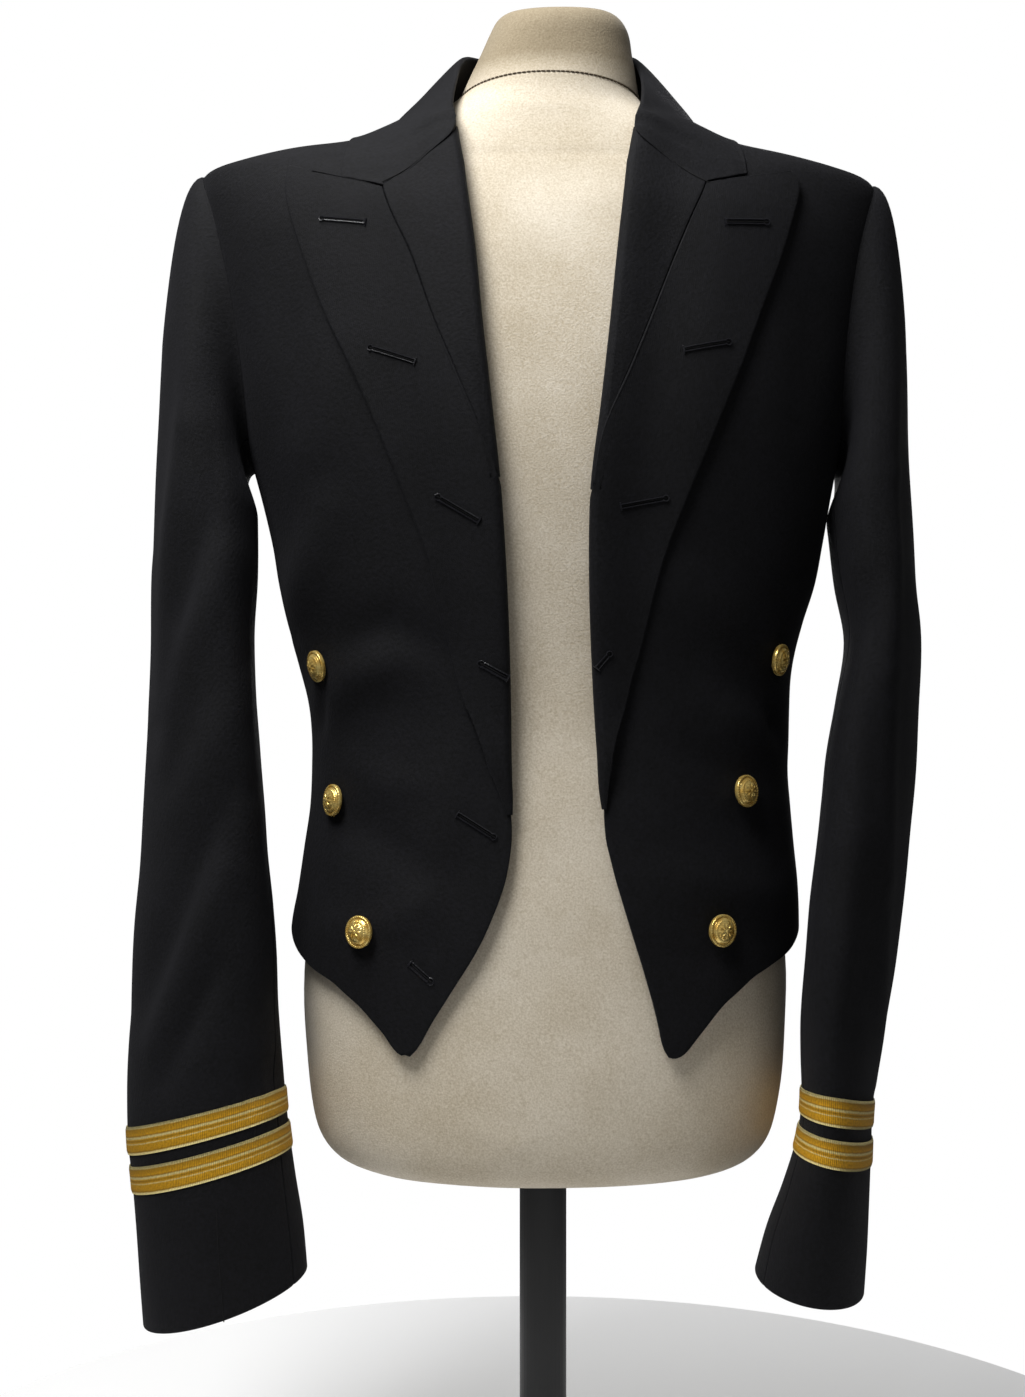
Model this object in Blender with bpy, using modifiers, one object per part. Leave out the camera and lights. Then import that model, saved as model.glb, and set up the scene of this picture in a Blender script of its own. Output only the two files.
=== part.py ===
"""A mess jacket worn open on a limbless dress form, with a plain stand.

Millimetres throughout, turned to metres when a mesh is made. Z is up, the jacket faces -Y and
the origin lies on the floor under the middle of the form. "left" is the wearer's left, at +X.
"""
import math
from collections import namedtuple

import bmesh
import bpy
from mathutils import Matrix, Vector

MM = 0.001
CLOTH = 2.0
SEAM_GAP = 0.3
LACE_THICK = 1.0
LAYER_GAP = 0.6
ROLL_LIFT = 4.2
ROLL_FADE = 16.0
SIDES = {"left": 1, "right": -1}

NAVY = (0.0065, 0.0070, 0.0100, 1.0)
GOLD = (0.52, 0.33, 0.09, 1.0)
GILT = (0.80, 0.56, 0.20, 1.0)
CALICO = (0.60, 0.53, 0.41, 1.0)
BLACK = (0.02, 0.02, 0.02, 1.0)

# One horizontal section of a bust: half width, where its middle lies, depth to the front and to
# the back, roundness (2 is an ellipse), and its height at the front, the side and the back.
Ring = namedtuple("Ring", "width centre front back round z_front z_side z_back")


def level(z, width, centre, front, back, roundness=2.3):
    """A section that lies level at height z."""
    return Ring(width, centre, front, back, roundness, z, z, z)


JACKET = (
    level(285, 149.5, 0.5, 106.0, 108.0),
    level(325, 149.5, 0.5, 104.5, 107.0),
    level(361, 149.0, 1.0, 103.5, 105.0),
    level(385, 146.5, 2.7, 102.5, 103.0),
    level(409, 143.8, 3.6, 101.0, 101.0),
    level(433, 141.1, 3.9, 99.5, 99.0),
    level(457, 139.6, 3.6, 97.5, 97.0),
    level(487, 140.0, 4.2, 96.5, 96.0),
    level(517, 144.4, 1.5, 98.5, 99.0),
    level(541, 149.8, 2.0, 101.0, 103.0),
    level(565, 157.3, 2.1, 103.5, 107.0),
    level(589, 161.8, 2.2, 105.5, 111.0),
    level(615, 167.0, 1.5, 107.5, 114.0),
    level(645, 174.0, 0.5, 108.5, 117.0),
    level(680, 181.0, -0.5, 107.0, 119.0),
    level(715, 187.0, -1.5, 102.5, 119.0),
    level(745, 192.0, -2.0, 97.0, 116.0),
    Ring(196.0, -2.5, 90.5, 111.0, 2.3, 770, 771, 774),
    Ring(198.5, -3.0, 83.5, 105.0, 2.3, 788, 792, 799),
    Ring(199.3, -3.0, 78.5, 99.0, 2.25, 800, 802.5, 811),
    Ring(197.0, -3.0, 75.5, 94.0, 2.2, 806, 808.7, 819),
    Ring(186.0, -2.5, 73.0, 88.0, 2.2, 811, 812.5, 826),
    Ring(160.0, -2.0, 71.0, 80.0, 2.2, 817, 818.6, 835),
    Ring(130.0, -1.0, 68.5, 73.0, 2.2, 823, 825.8, 843),
    Ring(105.0, 0.0, 66.0, 68.0, 2.2, 829, 831.5, 849),
    Ring(86.0, 0.5, 64.0, 64.0, 2.2, 835, 836.1, 854),
    Ring(72.0, 1.0, 62.0, 61.0, 2.2, 841, 840.5, 858),
    Ring(63.0, 1.5, 60.0, 58.0, 2.2, 846, 846.0, 862),
)
SHOULDER_TIP = 20
NECK_POINT = 27

FORM = (
    level(221, 98, 1.0, 66, 66),
    level(223.5, 112, 1.0, 78, 79),
    level(230, 125, 1.0, 89, 90),
    level(242, 134, 1.0, 96, 98),
    level(262, 139, 1.0, 100, 104),
    level(290, 142, 1.0, 101, 106),
    level(335, 143.5, 1.0, 99.5, 104),
    level(385, 138, 1.5, 97, 98),
    level(433, 131, 2.0, 93.5, 92),
    level(487, 128, 2.0, 90.5, 89),
    level(541, 135, 1.5, 94.5, 95),
    level(600, 149, 1.0, 100.5, 105),
    level(650, 158, 0.5, 102.5, 110),
    level(700, 165, 0.0, 99.0, 112),
    level(740, 169, -0.5, 92.0, 109),
    Ring(172.0, -1.0, 84.0, 103.0, 2.3, 770, 771, 775),
    Ring(172.5, -1.5, 77.0, 96.0, 2.3, 788, 791, 798),
    Ring(166.0, -1.5, 72.5, 89.0, 2.25, 799, 806.0, 812),
    Ring(157.0, -1.5, 70.5, 84.0, 2.2, 804, 813.5, 820),
    Ring(146.0, -1.5, 69.0, 80.0, 2.2, 809, 820.0, 826),
    Ring(120.0, -0.5, 66.0, 72.0, 2.2, 818, 827.0, 836),
    Ring(95.0, 0.5, 63.0, 66.0, 2.2, 827, 832.8, 845),
    Ring(76.0, 1.0, 60.5, 60.5, 2.2, 835, 838.2, 853),
    Ring(63.0, 2.0, 57.5, 56.0, 2.2, 843, 844.5, 861),
    Ring(54.0, 3.6, 54.5, 52.0, 2.2, 852.5, 856.5, 870),
)
NECK = (
    Ring(54.0, 3.6, 54.5, 52.0, 2.2, 852.8, 856.8, 870.3),
    Ring(48.5, 5.0, 51.5, 50.0, 2.2, 864, 868, 878),
    Ring(44.1, 6.3, 49.0, 48.0, 2.2, 877, 880, 887),
    Ring(40.5, 8.0, 46.5, 46.0, 2.2, 889, 892, 897),
    Ring(36.5, 8.6, 42.0, 42.0, 2.2, 896, 900, 903),
    Ring(29.0, 8.8, 34.0, 34.0, 2.2, 899, 904, 906),
    Ring(14.0, 9.0, 17.0, 17.0, 2.2, 902, 907, 908),
)

# A soft fold of the body seen from the front: three points of its line, half width and height.
Fold = namedtuple("Fold", "x1 z1 x2 z2 x3 z3 reach height")
FOLDS = (
    Fold(-123, 600, -136, 565, -141, 534, 13, 4.5),
    Fold(-83, 519, -108, 507, -129, 482, 13, 4.0),
    Fold(-116, 528, -88, 537, -58, 522, 12, -2.5),
    Fold(-122, 430, -98, 423, -57, 396, 15, -3.0),
    Fold(-44, 490, -52, 441, -72, 372, 12, 1.8),
    Fold(93, 493, 108, 484, 128, 470, 13, 3.5),
    Fold(68, 399, 92, 394, 124, 384, 13, 2.8),
    Fold(100, 440, 116, 425, 132, 410, 15, -3.2),
    Fold(84, 560, 108, 540, 134, 524, 15, 2.5),
)

# Where each front turns: the cut-away edge to the break, then the roll line of the lapel.
Edge = namedtuple("Edge", "z right left")
FRONT_EDGE = (
    Edge(297, -74.0, 68.5),
    Edge(319, -63.3, 60.5),
    Edge(341, -52.9, 55.0),
    Edge(363, -42.5, 48.4),
    Edge(385, -32.7, 41.3),
    Edge(406, -24.6, 35.4),
    Edge(422, -20.4, 32.6),
    Edge(450, -19.1, 28.4),
    Edge(504, -19.1, 25.1),
    Edge(559, -20.7, 23.0),
    Edge(612, -24.0, 23.6),
    Edge(656, -28.8, 29.0),
    Edge(700, -33.8, 34.1),
    Edge(745, -38.3, 38.9),
    Edge(793, -44.7, 44.7),
    Edge(819, -48.6, 49.2),
)
TIP_Z = 297
GORGE_Z = 819

# The hem of a front, from the tip (0) to the side seam (1).
Hem = namedtuple("Hem", "at z")
FRONT_HEM = (Hem(0.0, 297), Hem(0.07, 299), Hem(0.2, 310), Hem(0.36, 326), Hem(0.5, 335),
             Hem(0.66, 345), Hem(0.85, 359), Hem(1.0, 366))
SIDE_HEM_Z = 366
BACK_HEM_POINT = 20

# The lapel: its strip seam and its outer edge, from the peak down to the break.
Lapel = namedtuple("Lapel", "seam_x seam_z edge_x edge_z")
LAPEL = {
    "right": (Lapel(-89.6, 779.6, -143.5, 796.5), Lapel(-87.6, 772.5, -144.6, 783.0),
              Lapel(-82.5, 760.0, -140.0, 763.5), Lapel(-72.8, 739.0, -131.5, 739.0),
              Lapel(-60.5, 704.0, -120.2, 710.0), Lapel(-47.0, 672.0, -104.0, 676.0),
              Lapel(-34.0, 640.5, -88.0, 638.5), Lapel(-24.0, 612.0, -74.5, 604.0),
              Lapel(-20.9, 572.0, -63.2, 571.5), Lapel(-19.4, 536.0, -56.0, 536.0),
              Lapel(-19.0, 500.0, -46.4, 500.0), Lapel(-19.1, 465.0, -33.0, 465.0),
              Lapel(-19.9, 433.0, -25.0, 433.0)),
    "left": (Lapel(88.6, 782.3, 138.5, 793.5), Lapel(86.0, 775.5, 142.0, 785.0),
             Lapel(80.0, 762.5, 136.4, 763.5), Lapel(70.0, 739.0, 128.5, 740.0),
             Lapel(56.5, 705.0, 114.8, 704.5), Lapel(44.5, 676.0, 104.0, 676.0),
             Lapel(29.5, 641.0, 88.8, 638.5), Lapel(24.0, 605.0, 75.0, 604.5),
             Lapel(22.8, 572.0, 63.4, 572.5), Lapel(24.0, 536.0, 54.4, 536.0),
             Lapel(25.3, 500.0, 45.4, 500.0), Lapel(27.0, 467.0, 36.5, 467.0),
             Lapel(29.6, 436.0, 34.0, 436.0)),
}
FACING_ROWS = 7

# The collar, from one notch round the back to the other: seam, roll, fall and leaf edge.
Station = namedtuple("Station", "seam roll fall leaf")
COLLAR_SIDE = (
    Station((88.6, -89.5, 784.5), (95.0, -87.5, 786.5), (104.0, -84.5, 789.0), (116.0, -79.5, 793.0)),
    Station((68.5, -86.0, 800.5), (76.5, -83.0, 804.0), (93.0, -73.0, 810.0), (112.5, -60.0, 814.0)),
    Station((51.0, -78.5, 821.5), (57.0, -71.5, 830.0), (80.5, -53.0, 828.0), (110.0, -36.0, 828.0)),
    Station((57.0, -43.5, 844.5), (50.5, -41.5, 852.0), (73.0, -27.0, 840.5), (108.0, -10.0, 837.0)),
    Station((62.0, -8.0, 851.0), (48.5, -14.0, 868.0), (68.0, -2.0, 857.5), (102.0, 20.0, 845.0)),
    Station((59.5, 25.0, 860.0), (45.0, 17.0, 885.0), (60.0, 28.0, 873.0), (88.0, 47.0, 853.0)),
    Station((40.0, 53.0, 867.0), (32.0, 47.5, 896.0), (40.5, 56.5, 880.0), (55.0, 72.0, 857.0)),
)
COLLAR_BACK = Station((2.0, 61.0, 866.5), (5.0, 57.0, 900.0), (4.0, 68.0, 884.0), (2.0, 82.0, 859.0))
# The neck leans to the wearer's left, and the collar on that side with it.
NECK_LEAN = 9.0
COLLAR_OUT = 4.2

# A sleeve below the arm: its middle, half width seen from the front, half depth, lean of the
# flattened tube in degrees and its slope up towards the body.
Tube = namedtuple("Tube", "z x y width depth lean slope")
SLEEVE = {
    "right": (Tube(600, -203.0, -4, 31.0, 64, 30, 0.0), Tube(564, -203.0, -8, 31.0, 63, 34, 0.0),
              Tube(529, -202.0, -12, 31.5, 62, 38, 0.0), Tube(493, -201.5, -16, 32.0, 61, 40, 0.0),
              Tube(462, -200.0, -21, 34.0, 60, 40, 0.0), Tube(432, -199.0, -26, 36.0, 58, 38, 0.02),
              Tube(402, -198.5, -30, 37.5, 56, 36, 0.05), Tube(372, -198.0, -35, 39.5, 54, 32, 0.10),
              Tube(342, -196.0, -40, 41.0, 52, 28, 0.15), Tube(312, -194.7, -45, 42.0, 50, 24, 0.20),
              Tube(284, -193.6, -50, 42.8, 48, 20, 0.25), Tube(257, -192.3, -54, 43.4, 47, 16, 0.29),
              Tube(237, -190.0, -57, 43.6, 46, 14, 0.31), Tube(212, -186.8, -61, 44.3, 45, 12, 0.33),
              Tube(186, -183.2, -64, 45.0, 45, 10, 0.35), Tube(160, -180.5, -67, 45.0, 45, 10, 0.37)),
    "left": (Tube(600, 197.0, -4, 24.5, 66, -25, 0.0), Tube(564, 197.0, -8, 23.5, 66, -30, 0.0),
             Tube(529, 198.5, -12, 22.0, 66, -34, 0.0), Tube(493, 194.5, -17, 23.5, 65, -36, 0.0),
             Tube(462, 190.5, -21, 25.0, 64, -36, 0.0), Tube(432, 186.5, -26, 25.6, 62, -36, -0.02),
             Tube(402, 183.0, -30, 25.8, 61, -36, -0.04), Tube(372, 179.5, -35, 25.5, 60, -36, -0.08),
             Tube(342, 175.8, -40, 25.2, 59, -36, -0.12), Tube(312, 171.5, -45, 23.8, 58, -36, -0.16),
             Tube(287, 168.6, -49, 21.8, 57, -36, -0.20), Tube(264, 167.0, -53, 20.9, 56, -34, -0.24),
             Tube(243, 165.0, -56, 21.6, 54, -30, -0.25), Tube(217, 160.0, -60, 24.8, 52, -25, -0.24),
             Tube(192, 154.2, -63, 28.3, 50, -20, -0.23), Tube(168, 149.5, -66, 30.0, 48, -15, -0.22)),
}
# Ridges pressed into a sleeve: its angle round the tube (0 is the front), rise and where it runs.
Crease = namedtuple("Crease", "angle drift rise top bottom")
CREASES = {
    "right": (Crease(-24, -26, 4.0, 780, 470), Crease(-20, -38, -3.0, 420, 300)),
    "left": (Crease(2, 28, 3.5, 760, 262), Crease(-38, 0, -2.0, 560, 380)),
}
UNDERARM_Z = 635
ARMHOLE_FRONT = 42.0
ARMHOLE_BACK = 48.0
CAP_OUT = 70.0
UNDERARM_OUT = 52.0
LOOP_HALF = 10
UNDER_FRONT = 3
UNDER_BACK = 16
LACE_ROWS = {"right": {"upper": 257.0, "lower": 236.8}, "left": {"upper": 264.5, "lower": 243.7}}
LACE_WIDTH = 14.3

Button = namedtuple("Button", "x z")
BUTTONS = {
    "right": (Button(-127.4, 516.6), Button(-119.0, 438.8), Button(-101.7, 367.0)),
    "left": (Button(131.0, 520.1), Button(112.6, 444.6), Button(97.4, 368.5)),
}
BUTTON_PROFILE = ((0.0, 8.2), (3.4, 7.9), (6.3, 6.8), (8.1, 5.2), (8.7, 4.5), (9.5, 4.3), (9.5, 3.1),
                  (8.8, 2.6), (3.0, 2.4), (2.4, 1.9), (2.4, 0.0), (0.0, 0.0))

BASE_PROFILE = ((0.0, 13.0), (26.0, 13.0), (30.0, 12.0), (128.0, 8.0), (134.0, 6.0), (135.0, 4.0),
                (135.0, 1.0), (134.0, 0.0), (0.0, 0.0))
POST_PROFILE = ((0.0, 220.7), (44.0, 220.7), (45.0, 219.5), (45.0, 216.5), (44.0, 215.5), (17.0, 213.5),
                (14.0, 208.0), (14.0, 26.0), (17.0, 22.0), (20.0, 17.0), (20.0, 13.3), (0.0, 13.3))


def spline(values, at):
    """A Catmull-Rom curve through values, read at a fractional index."""
    last = len(values) - 1
    i = min(max(int(at), 0), last - 1)
    t = at - i
    a, b, c, d = values[max(i - 1, 0)], values[i], values[i + 1], values[min(i + 2, last)]
    return 0.5 * (2 * b + (c - a) * t + (2 * a - 5 * b + 4 * c - d) * t * t + (3 * b - a - 3 * c + d) * t ** 3)


def blend(table, key, at, want):
    """Column want of a table, read by a straight line where column key equals at."""
    rows = sorted(table, key=lambda row: getattr(row, key))
    for low, high in zip(rows, rows[1:]):
        k0, k1 = getattr(low, key), getattr(high, key)
        if at <= k1 or high is rows[-1]:
            share = min(max((at - k0) / (k1 - k0), 0.0), 1.0)
            return getattr(low, want) * (1 - share) + getattr(high, want) * share
    return None


def ring_at(rings, h):
    """The section at the fractional row h of a bust."""
    return Ring(*(spline([getattr(row, field) for row in rings], h) for field in Ring._fields))


def arc(angle, roundness):
    """Sine and cosine of a superellipse."""
    s, c = math.sin(angle), math.cos(angle)
    return (math.copysign(abs(s) ** (2 / roundness), s), math.copysign(abs(c) ** (2 / roundness), c))


def bust(rings, angle, h):
    """A point of a bust: angle 0 is the front centre, +90 degrees the wearer's left."""
    ring = ring_at(rings, h)
    side, front = arc(angle, ring.round)
    depth, z_end = (ring.front, ring.z_front) if front > 0 else (ring.back, ring.z_back)
    z = ring.z_side + (z_end - ring.z_side) * front * front
    return Vector((ring.centre + ring.width * side, -depth * front, z))


def locate(x, z):
    """Angle and row of the jacket's front where it has this x and z."""
    low, high = 0.0, float(NECK_POINT)
    angle = 0.0
    for _ in range(30):
        h = (low + high) / 2
        ring = ring_at(JACKET, h)
        share = max(-1.0, min(1.0, (x - ring.centre) / ring.width))
        angle = math.asin(math.copysign(abs(share) ** (ring.round / 2), share))
        if bust(JACKET, angle, h).z < z:
            low = h
        else:
            high = h
    return angle, low


def fold_height(point):
    """How far the folds raise the front of the body at a point."""
    total = 0.0
    for fold in FOLDS:
        spine = ((fold.x1, fold.z1), (fold.x2, fold.z2), (fold.x3, fold.z3))
        best = 1e9
        along = 0.0
        for k, (a, b) in enumerate(zip(spine, spine[1:])):
            dx, dz = b[0] - a[0], b[1] - a[1]
            t = ((point.x - a[0]) * dx + (point.z - a[1]) * dz) / (dx * dx + dz * dz)
            t = min(max(t, 0.0), 1.0)
            gap = math.hypot(point.x - a[0] - t * dx, point.z - a[1] - t * dz)
            if gap < best:
                best, along = gap, (k + t) / 2
        fade = math.sin(math.pi * (0.12 + 0.76 * along)) ** 0.7
        total += fold.height * fade * math.exp(-(best / fold.reach) ** 2)
    return total


def body(angle, h, out=0.0):
    """A point of the jacket's body, out mm away from its inner face, and the normal there."""
    point = bust(JACKET, angle, h)
    step = 0.004
    across = bust(JACKET, angle + step, h) - bust(JACKET, angle - step, h)
    up = bust(JACKET, angle, min(h + 0.02, NECK_POINT)) - bust(JACKET, angle, max(h - 0.02, 0.0))
    normal = across.cross(up).normalized()
    lift = fold_height(point) if point.y < 0 else 0.0
    return point + normal * (lift + out), normal


def hermite(a, ta, b, tb, t):
    """A cubic from a to b with the end directions ta and tb."""
    t2, t3 = t * t, t * t * t
    return (a * (2 * t3 - 3 * t2 + 1) + ta * (t3 - 2 * t2 + t) + b * (3 * t2 - 2 * t3) + tb * (t3 - t2))


def armhole(sign, k):
    """Angle and row of point k of the armhole: 0 underarm, LOOP_HALF shoulder tip, on round the back."""
    share = k / LOOP_HALF
    front = share <= 1.0
    turn = math.pi * (share if front else 2.0 - share)
    tip_z = bust(JACKET, math.pi / 2, SHOULDER_TIP).z
    middle, half = (tip_z + UNDERARM_Z) / 2, (tip_z - UNDERARM_Z) / 2
    z = middle - half * math.copysign(abs(math.cos(turn)) ** 0.9, math.cos(turn))
    depth = (ARMHOLE_FRONT if front else ARMHOLE_BACK) * (1.12 - 0.24 * share if front else 0.88 + 0.24 * (share - 1))
    y = depth * math.sin(turn) ** 0.85 if 0 < turn < math.pi else 0.0
    low, high = 8.0, float(SHOULDER_TIP)
    angle = math.pi / 2
    for _ in range(30):
        h = (low + high) / 2
        ring = ring_at(JACKET, h)
        cosine = min(y / (ring.front if front else ring.back), 1.0)
        angle = math.acos(cosine ** (ring.round / 2))
        angle = angle if front else math.pi - angle
        if bust(JACKET, angle, h).z < z:
            low = h
        else:
            high = h
    if y == 0.0:
        angle = math.pi / 2
    return sign * angle, min(low, SHOULDER_TIP)


def tube_point(side, turn, t):
    """A point of the hanging sleeve; turn 0 is the side at the body, 0.25 the front."""
    rows = SLEEVE[side]
    tube = Tube(*(spline([getattr(row, field) for row in rows], t) for field in Tube._fields))
    sign = SIDES[side]
    theta = math.radians(90 - 360 * turn)
    x = tube.width * math.sin(theta + math.radians(abs(tube.lean)))
    y = -tube.depth * math.cos(theta)
    point = Vector((tube.x - sign * x, tube.y + y, 0.0))
    point.z = tube.z + tube.slope * (point.x - tube.x) - 0.13 * (point.y - tube.y)
    for crease in CREASES[side]:
        if crease.bottom < point.z < crease.top:
            share = (crease.top - point.z) / (crease.top - crease.bottom)
            gap = math.degrees(theta) - crease.angle - (crease.drift if sign < 0 else -crease.drift) * share
            gap = (gap + 180) % 360 - 180
            fade = math.sin(math.pi * share) ** 0.5
            push = crease.rise * fade * math.exp(-(gap / 22) ** 2)
            away = Vector((point.x - tube.x, point.y - tube.y, 0)).normalized()
            point += away * push
    return point


def sleeve_point(side, turn, t):
    """A point of a sleeve: t runs from 0 at the armhole to 1 at the free tube, then by its rows."""
    sign = SIDES[side]
    if t >= 1.0:
        return tube_point(side, turn, t - 1.0)
    angle, h = armhole(sign, turn * 2 * LOOP_HALF)
    start, normal = body(angle, h)
    end = tube_point(side, turn, 0.0)
    high = 0.5 - 0.5 * math.cos(2 * math.pi * turn)
    reach = UNDERARM_OUT + (CAP_OUT - UNDERARM_OUT) * high ** 1.5
    forward = -0.25 * math.sin(2 * math.pi * turn)
    leave = Vector((sign * reach, forward * reach, 30 * high - 6))
    start = start + leave.normalized() * SEAM_GAP
    fall = end - tube_point(side, turn, 0.3)
    drop = (start - end).length
    return hermite(start, leave, end, fall.normalized() * -drop * 0.95, t)


def sleeve_normal(side, turn, t):
    """The outward direction of a sleeve's cloth."""
    sign = SIDES[side]
    around = sleeve_point(side, (turn + 0.01) % 1.0, t) - sleeve_point(side, (turn - 0.01) % 1.0, t)
    step = 0.03
    along = sleeve_point(side, turn, t + step) - sleeve_point(side, turn, max(t - step, 0.0))
    return (around.cross(along) * -sign).normalized()


def seam_normal(side, k):
    """The shared direction of the wall where the sleeve meets the armhole, longer at a corner."""
    angle, h = armhole(SIDES[side], k)
    _, flat = body(angle, h)
    turn = (k / (2 * LOOP_HALF)) % 1.0
    mix = (flat + sleeve_normal(side, turn, 0.02)).normalized()
    return mix / max(mix.dot(flat), 0.7)


def new_object(name, mesh_data, colour, roughness=0.9, metallic=0.0):
    """Links a mesh as a named part with its own material."""
    obj = bpy.data.objects.new(name, mesh_data)
    PARTS.objects.link(obj)
    material = bpy.data.materials.new(name + "_finish")
    material.use_nodes = True
    shader = material.node_tree.nodes["Principled BSDF"]
    shader.inputs["Base Color"].default_value = colour
    shader.inputs["Roughness"].default_value = roughness
    shader.inputs["Metallic"].default_value = metallic
    mesh_data.materials.append(material)
    mesh_data.shade_smooth()
    mesh_data.set_sharp_from_angle(angle=math.radians(35))
    return obj


def wall(name, inner, outer, colour=NAVY, closed=False, metallic=0.0):
    """A cloth wall between two grids of points, rows by columns, as one closed body."""
    bm = bmesh.new()
    rows, cols = len(inner), len(inner[0])
    skin = [[[bm.verts.new(p * MM) for p in row] for row in grid] for grid in (inner, outer)]
    spans = cols if closed else cols - 1

    def quad(a, b, c, d):
        bm.faces.new((a, b, c, d))

    for r in range(rows - 1):
        for c in range(spans):
            n = (c + 1) % cols
            quad(skin[0][r][c], skin[0][r + 1][c], skin[0][r + 1][n], skin[0][r][n])
            quad(skin[1][r][c], skin[1][r][n], skin[1][r + 1][n], skin[1][r + 1][c])
    for c in range(spans):
        n = (c + 1) % cols
        for r in (0, rows - 1):
            quad(skin[0][r][c], skin[0][r][n], skin[1][r][n], skin[1][r][c])
    if not closed:
        for r in range(rows - 1):
            for c in (0, cols - 1):
                quad(skin[0][r][c], skin[1][r][c], skin[1][r + 1][c], skin[0][r + 1][c])
    bmesh.ops.recalc_face_normals(bm, faces=bm.faces)
    bmesh.ops.triangulate(bm, faces=bm.faces)
    data = bpy.data.meshes.new(name)
    bm.to_mesh(data)
    bm.free()
    return new_object(name, data, colour, metallic=metallic)


def solid_of_rings(name, rings, colour, columns):
    """A solid through the sections of a bust, closed flat at both ends."""
    bm = bmesh.new()
    loops = []
    for h in range(len(rings)):
        loops.append([bm.verts.new(bust(rings, 2 * math.pi * k / columns, h) * MM) for k in range(columns)])
    for low, high in zip(loops, loops[1:]):
        for k in range(columns):
            n = (k + 1) % columns
            bm.faces.new((low[k], low[n], high[n], high[k]))
    bm.faces.new(list(reversed(loops[0])))
    bm.faces.new(loops[-1])
    bmesh.ops.recalc_face_normals(bm, faces=bm.faces)
    bmesh.ops.triangulate(bm, faces=bm.faces)
    data = bpy.data.meshes.new(name)
    bm.to_mesh(data)
    bm.free()
    return new_object(name, data, colour)


def turned(name, profile, colour, steps, roughness=0.5, metallic=0.0):
    """A turned solid: a profile of radius and height, spun about Z by a Screw modifier."""
    data = bpy.data.meshes.new(name)
    points = [(radius * MM, 0.0, z * MM) for radius, z in profile]
    data.from_pydata(points, [(k, k + 1) for k in range(len(points) - 1)], [])
    obj = new_object(name, data, colour, roughness, metallic)
    screw = obj.modifiers.new("Turn", "SCREW")
    screw.axis = "Z"
    screw.steps = steps
    screw.render_steps = steps
    screw.use_merge_vertices = True
    screw.merge_threshold = 0.0001
    return obj


def pull_in(points, gap):
    """Moves the ends of a row of points together by a gap each."""
    row = list(points)
    row[0] = row[0] + (row[1] - row[0]).normalized() * gap
    row[-1] = row[-1] + (row[-2] - row[-1]).normalized() * gap
    return row


def front_edge(side, z):
    """Angle and row of a front's edge at a height."""
    return locate(blend(FRONT_EDGE, "z", z, side), z)


NECKLINE = ((38, 23.6), (60, 25.2), (76, 26.4), (89.8, 27.0))
SEAM_ROWS = 10


def body_rows(edge):
    """The rows of a panel at its side: up the side seam to the underarm, then the armhole."""
    half = math.pi / 2
    low = locate_side(SIDE_HEM_Z)
    high = locate_side(UNDERARM_Z)
    seam = [(half, low + (high - low) * k / SEAM_ROWS) for k in range(SEAM_ROWS)]
    loop = [armhole(1, k) for k in (range(LOOP_HALF + 1) if edge == "front" else
                                    range(2 * LOOP_HALF, LOOP_HALF - 1, -1))]
    return seam + [(angle, h) for angle, h in loop]


def locate_side(z):
    """The row of the jacket whose side lies at height z."""
    low, high = 0.0, float(SHOULDER_TIP)
    for _ in range(30):
        h = (low + high) / 2
        if bust(JACKET, math.pi / 2, h).z < z:
            low = h
        else:
            high = h
    return low


def coons(left, right, bottom, top):
    """Rows of points of parameter space between four edges."""
    rows, cols = len(left), len(bottom)
    grid = []
    for r in range(rows):
        t = r / (rows - 1)
        row = []
        for c in range(cols):
            v = c / (cols - 1)
            mix = []
            for axis in (0, 1):
                sides = (1 - v) * left[r][axis] + v * right[r][axis]
                ends = (1 - t) * bottom[c][axis] + t * top[c][axis]
                corner = ((1 - v) * (1 - t) * left[0][axis] + v * (1 - t) * right[0][axis]
                          + (1 - v) * t * left[-1][axis] + v * t * right[-1][axis])
                mix.append(sides + ends - corner)
            row.append(tuple(mix))
        grid.append(row)
    return grid


def panel(name, side, grid, has_back_seam=False):
    """A body panel from a grid of parameters, its wall shared with the sleeve at the armhole."""
    edge = "front" if name.startswith("front") else "back"
    inner, outer = [], []
    for r, row in enumerate(grid):
        points, normals = [], []
        for c, (angle, h) in enumerate(row):
            point, normal = body(angle, h)
            if c == len(row) - 1 and r >= SEAM_ROWS:
                k = r - SEAM_ROWS if edge == "front" else 2 * LOOP_HALF - (r - SEAM_ROWS)
                normal = seam_normal(side, k)
            points.append(point)
            normals.append(normal)
        moved = pull_in(points, SEAM_GAP / 2)
        points = [moved[0] if has_back_seam else points[0]] + points[1:-1] + [moved[-1]]
        inner.append(points)
        outer.append([p + n * CLOTH for p, n in zip(points, normals)])
    for grid_points in (inner, outer):
        grid_points[-1] = [p + (q - p).normalized() * SEAM_GAP / 2 for p, q in zip(grid_points[-1], grid_points[-2])]
    return wall(name, inner, outer)


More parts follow.
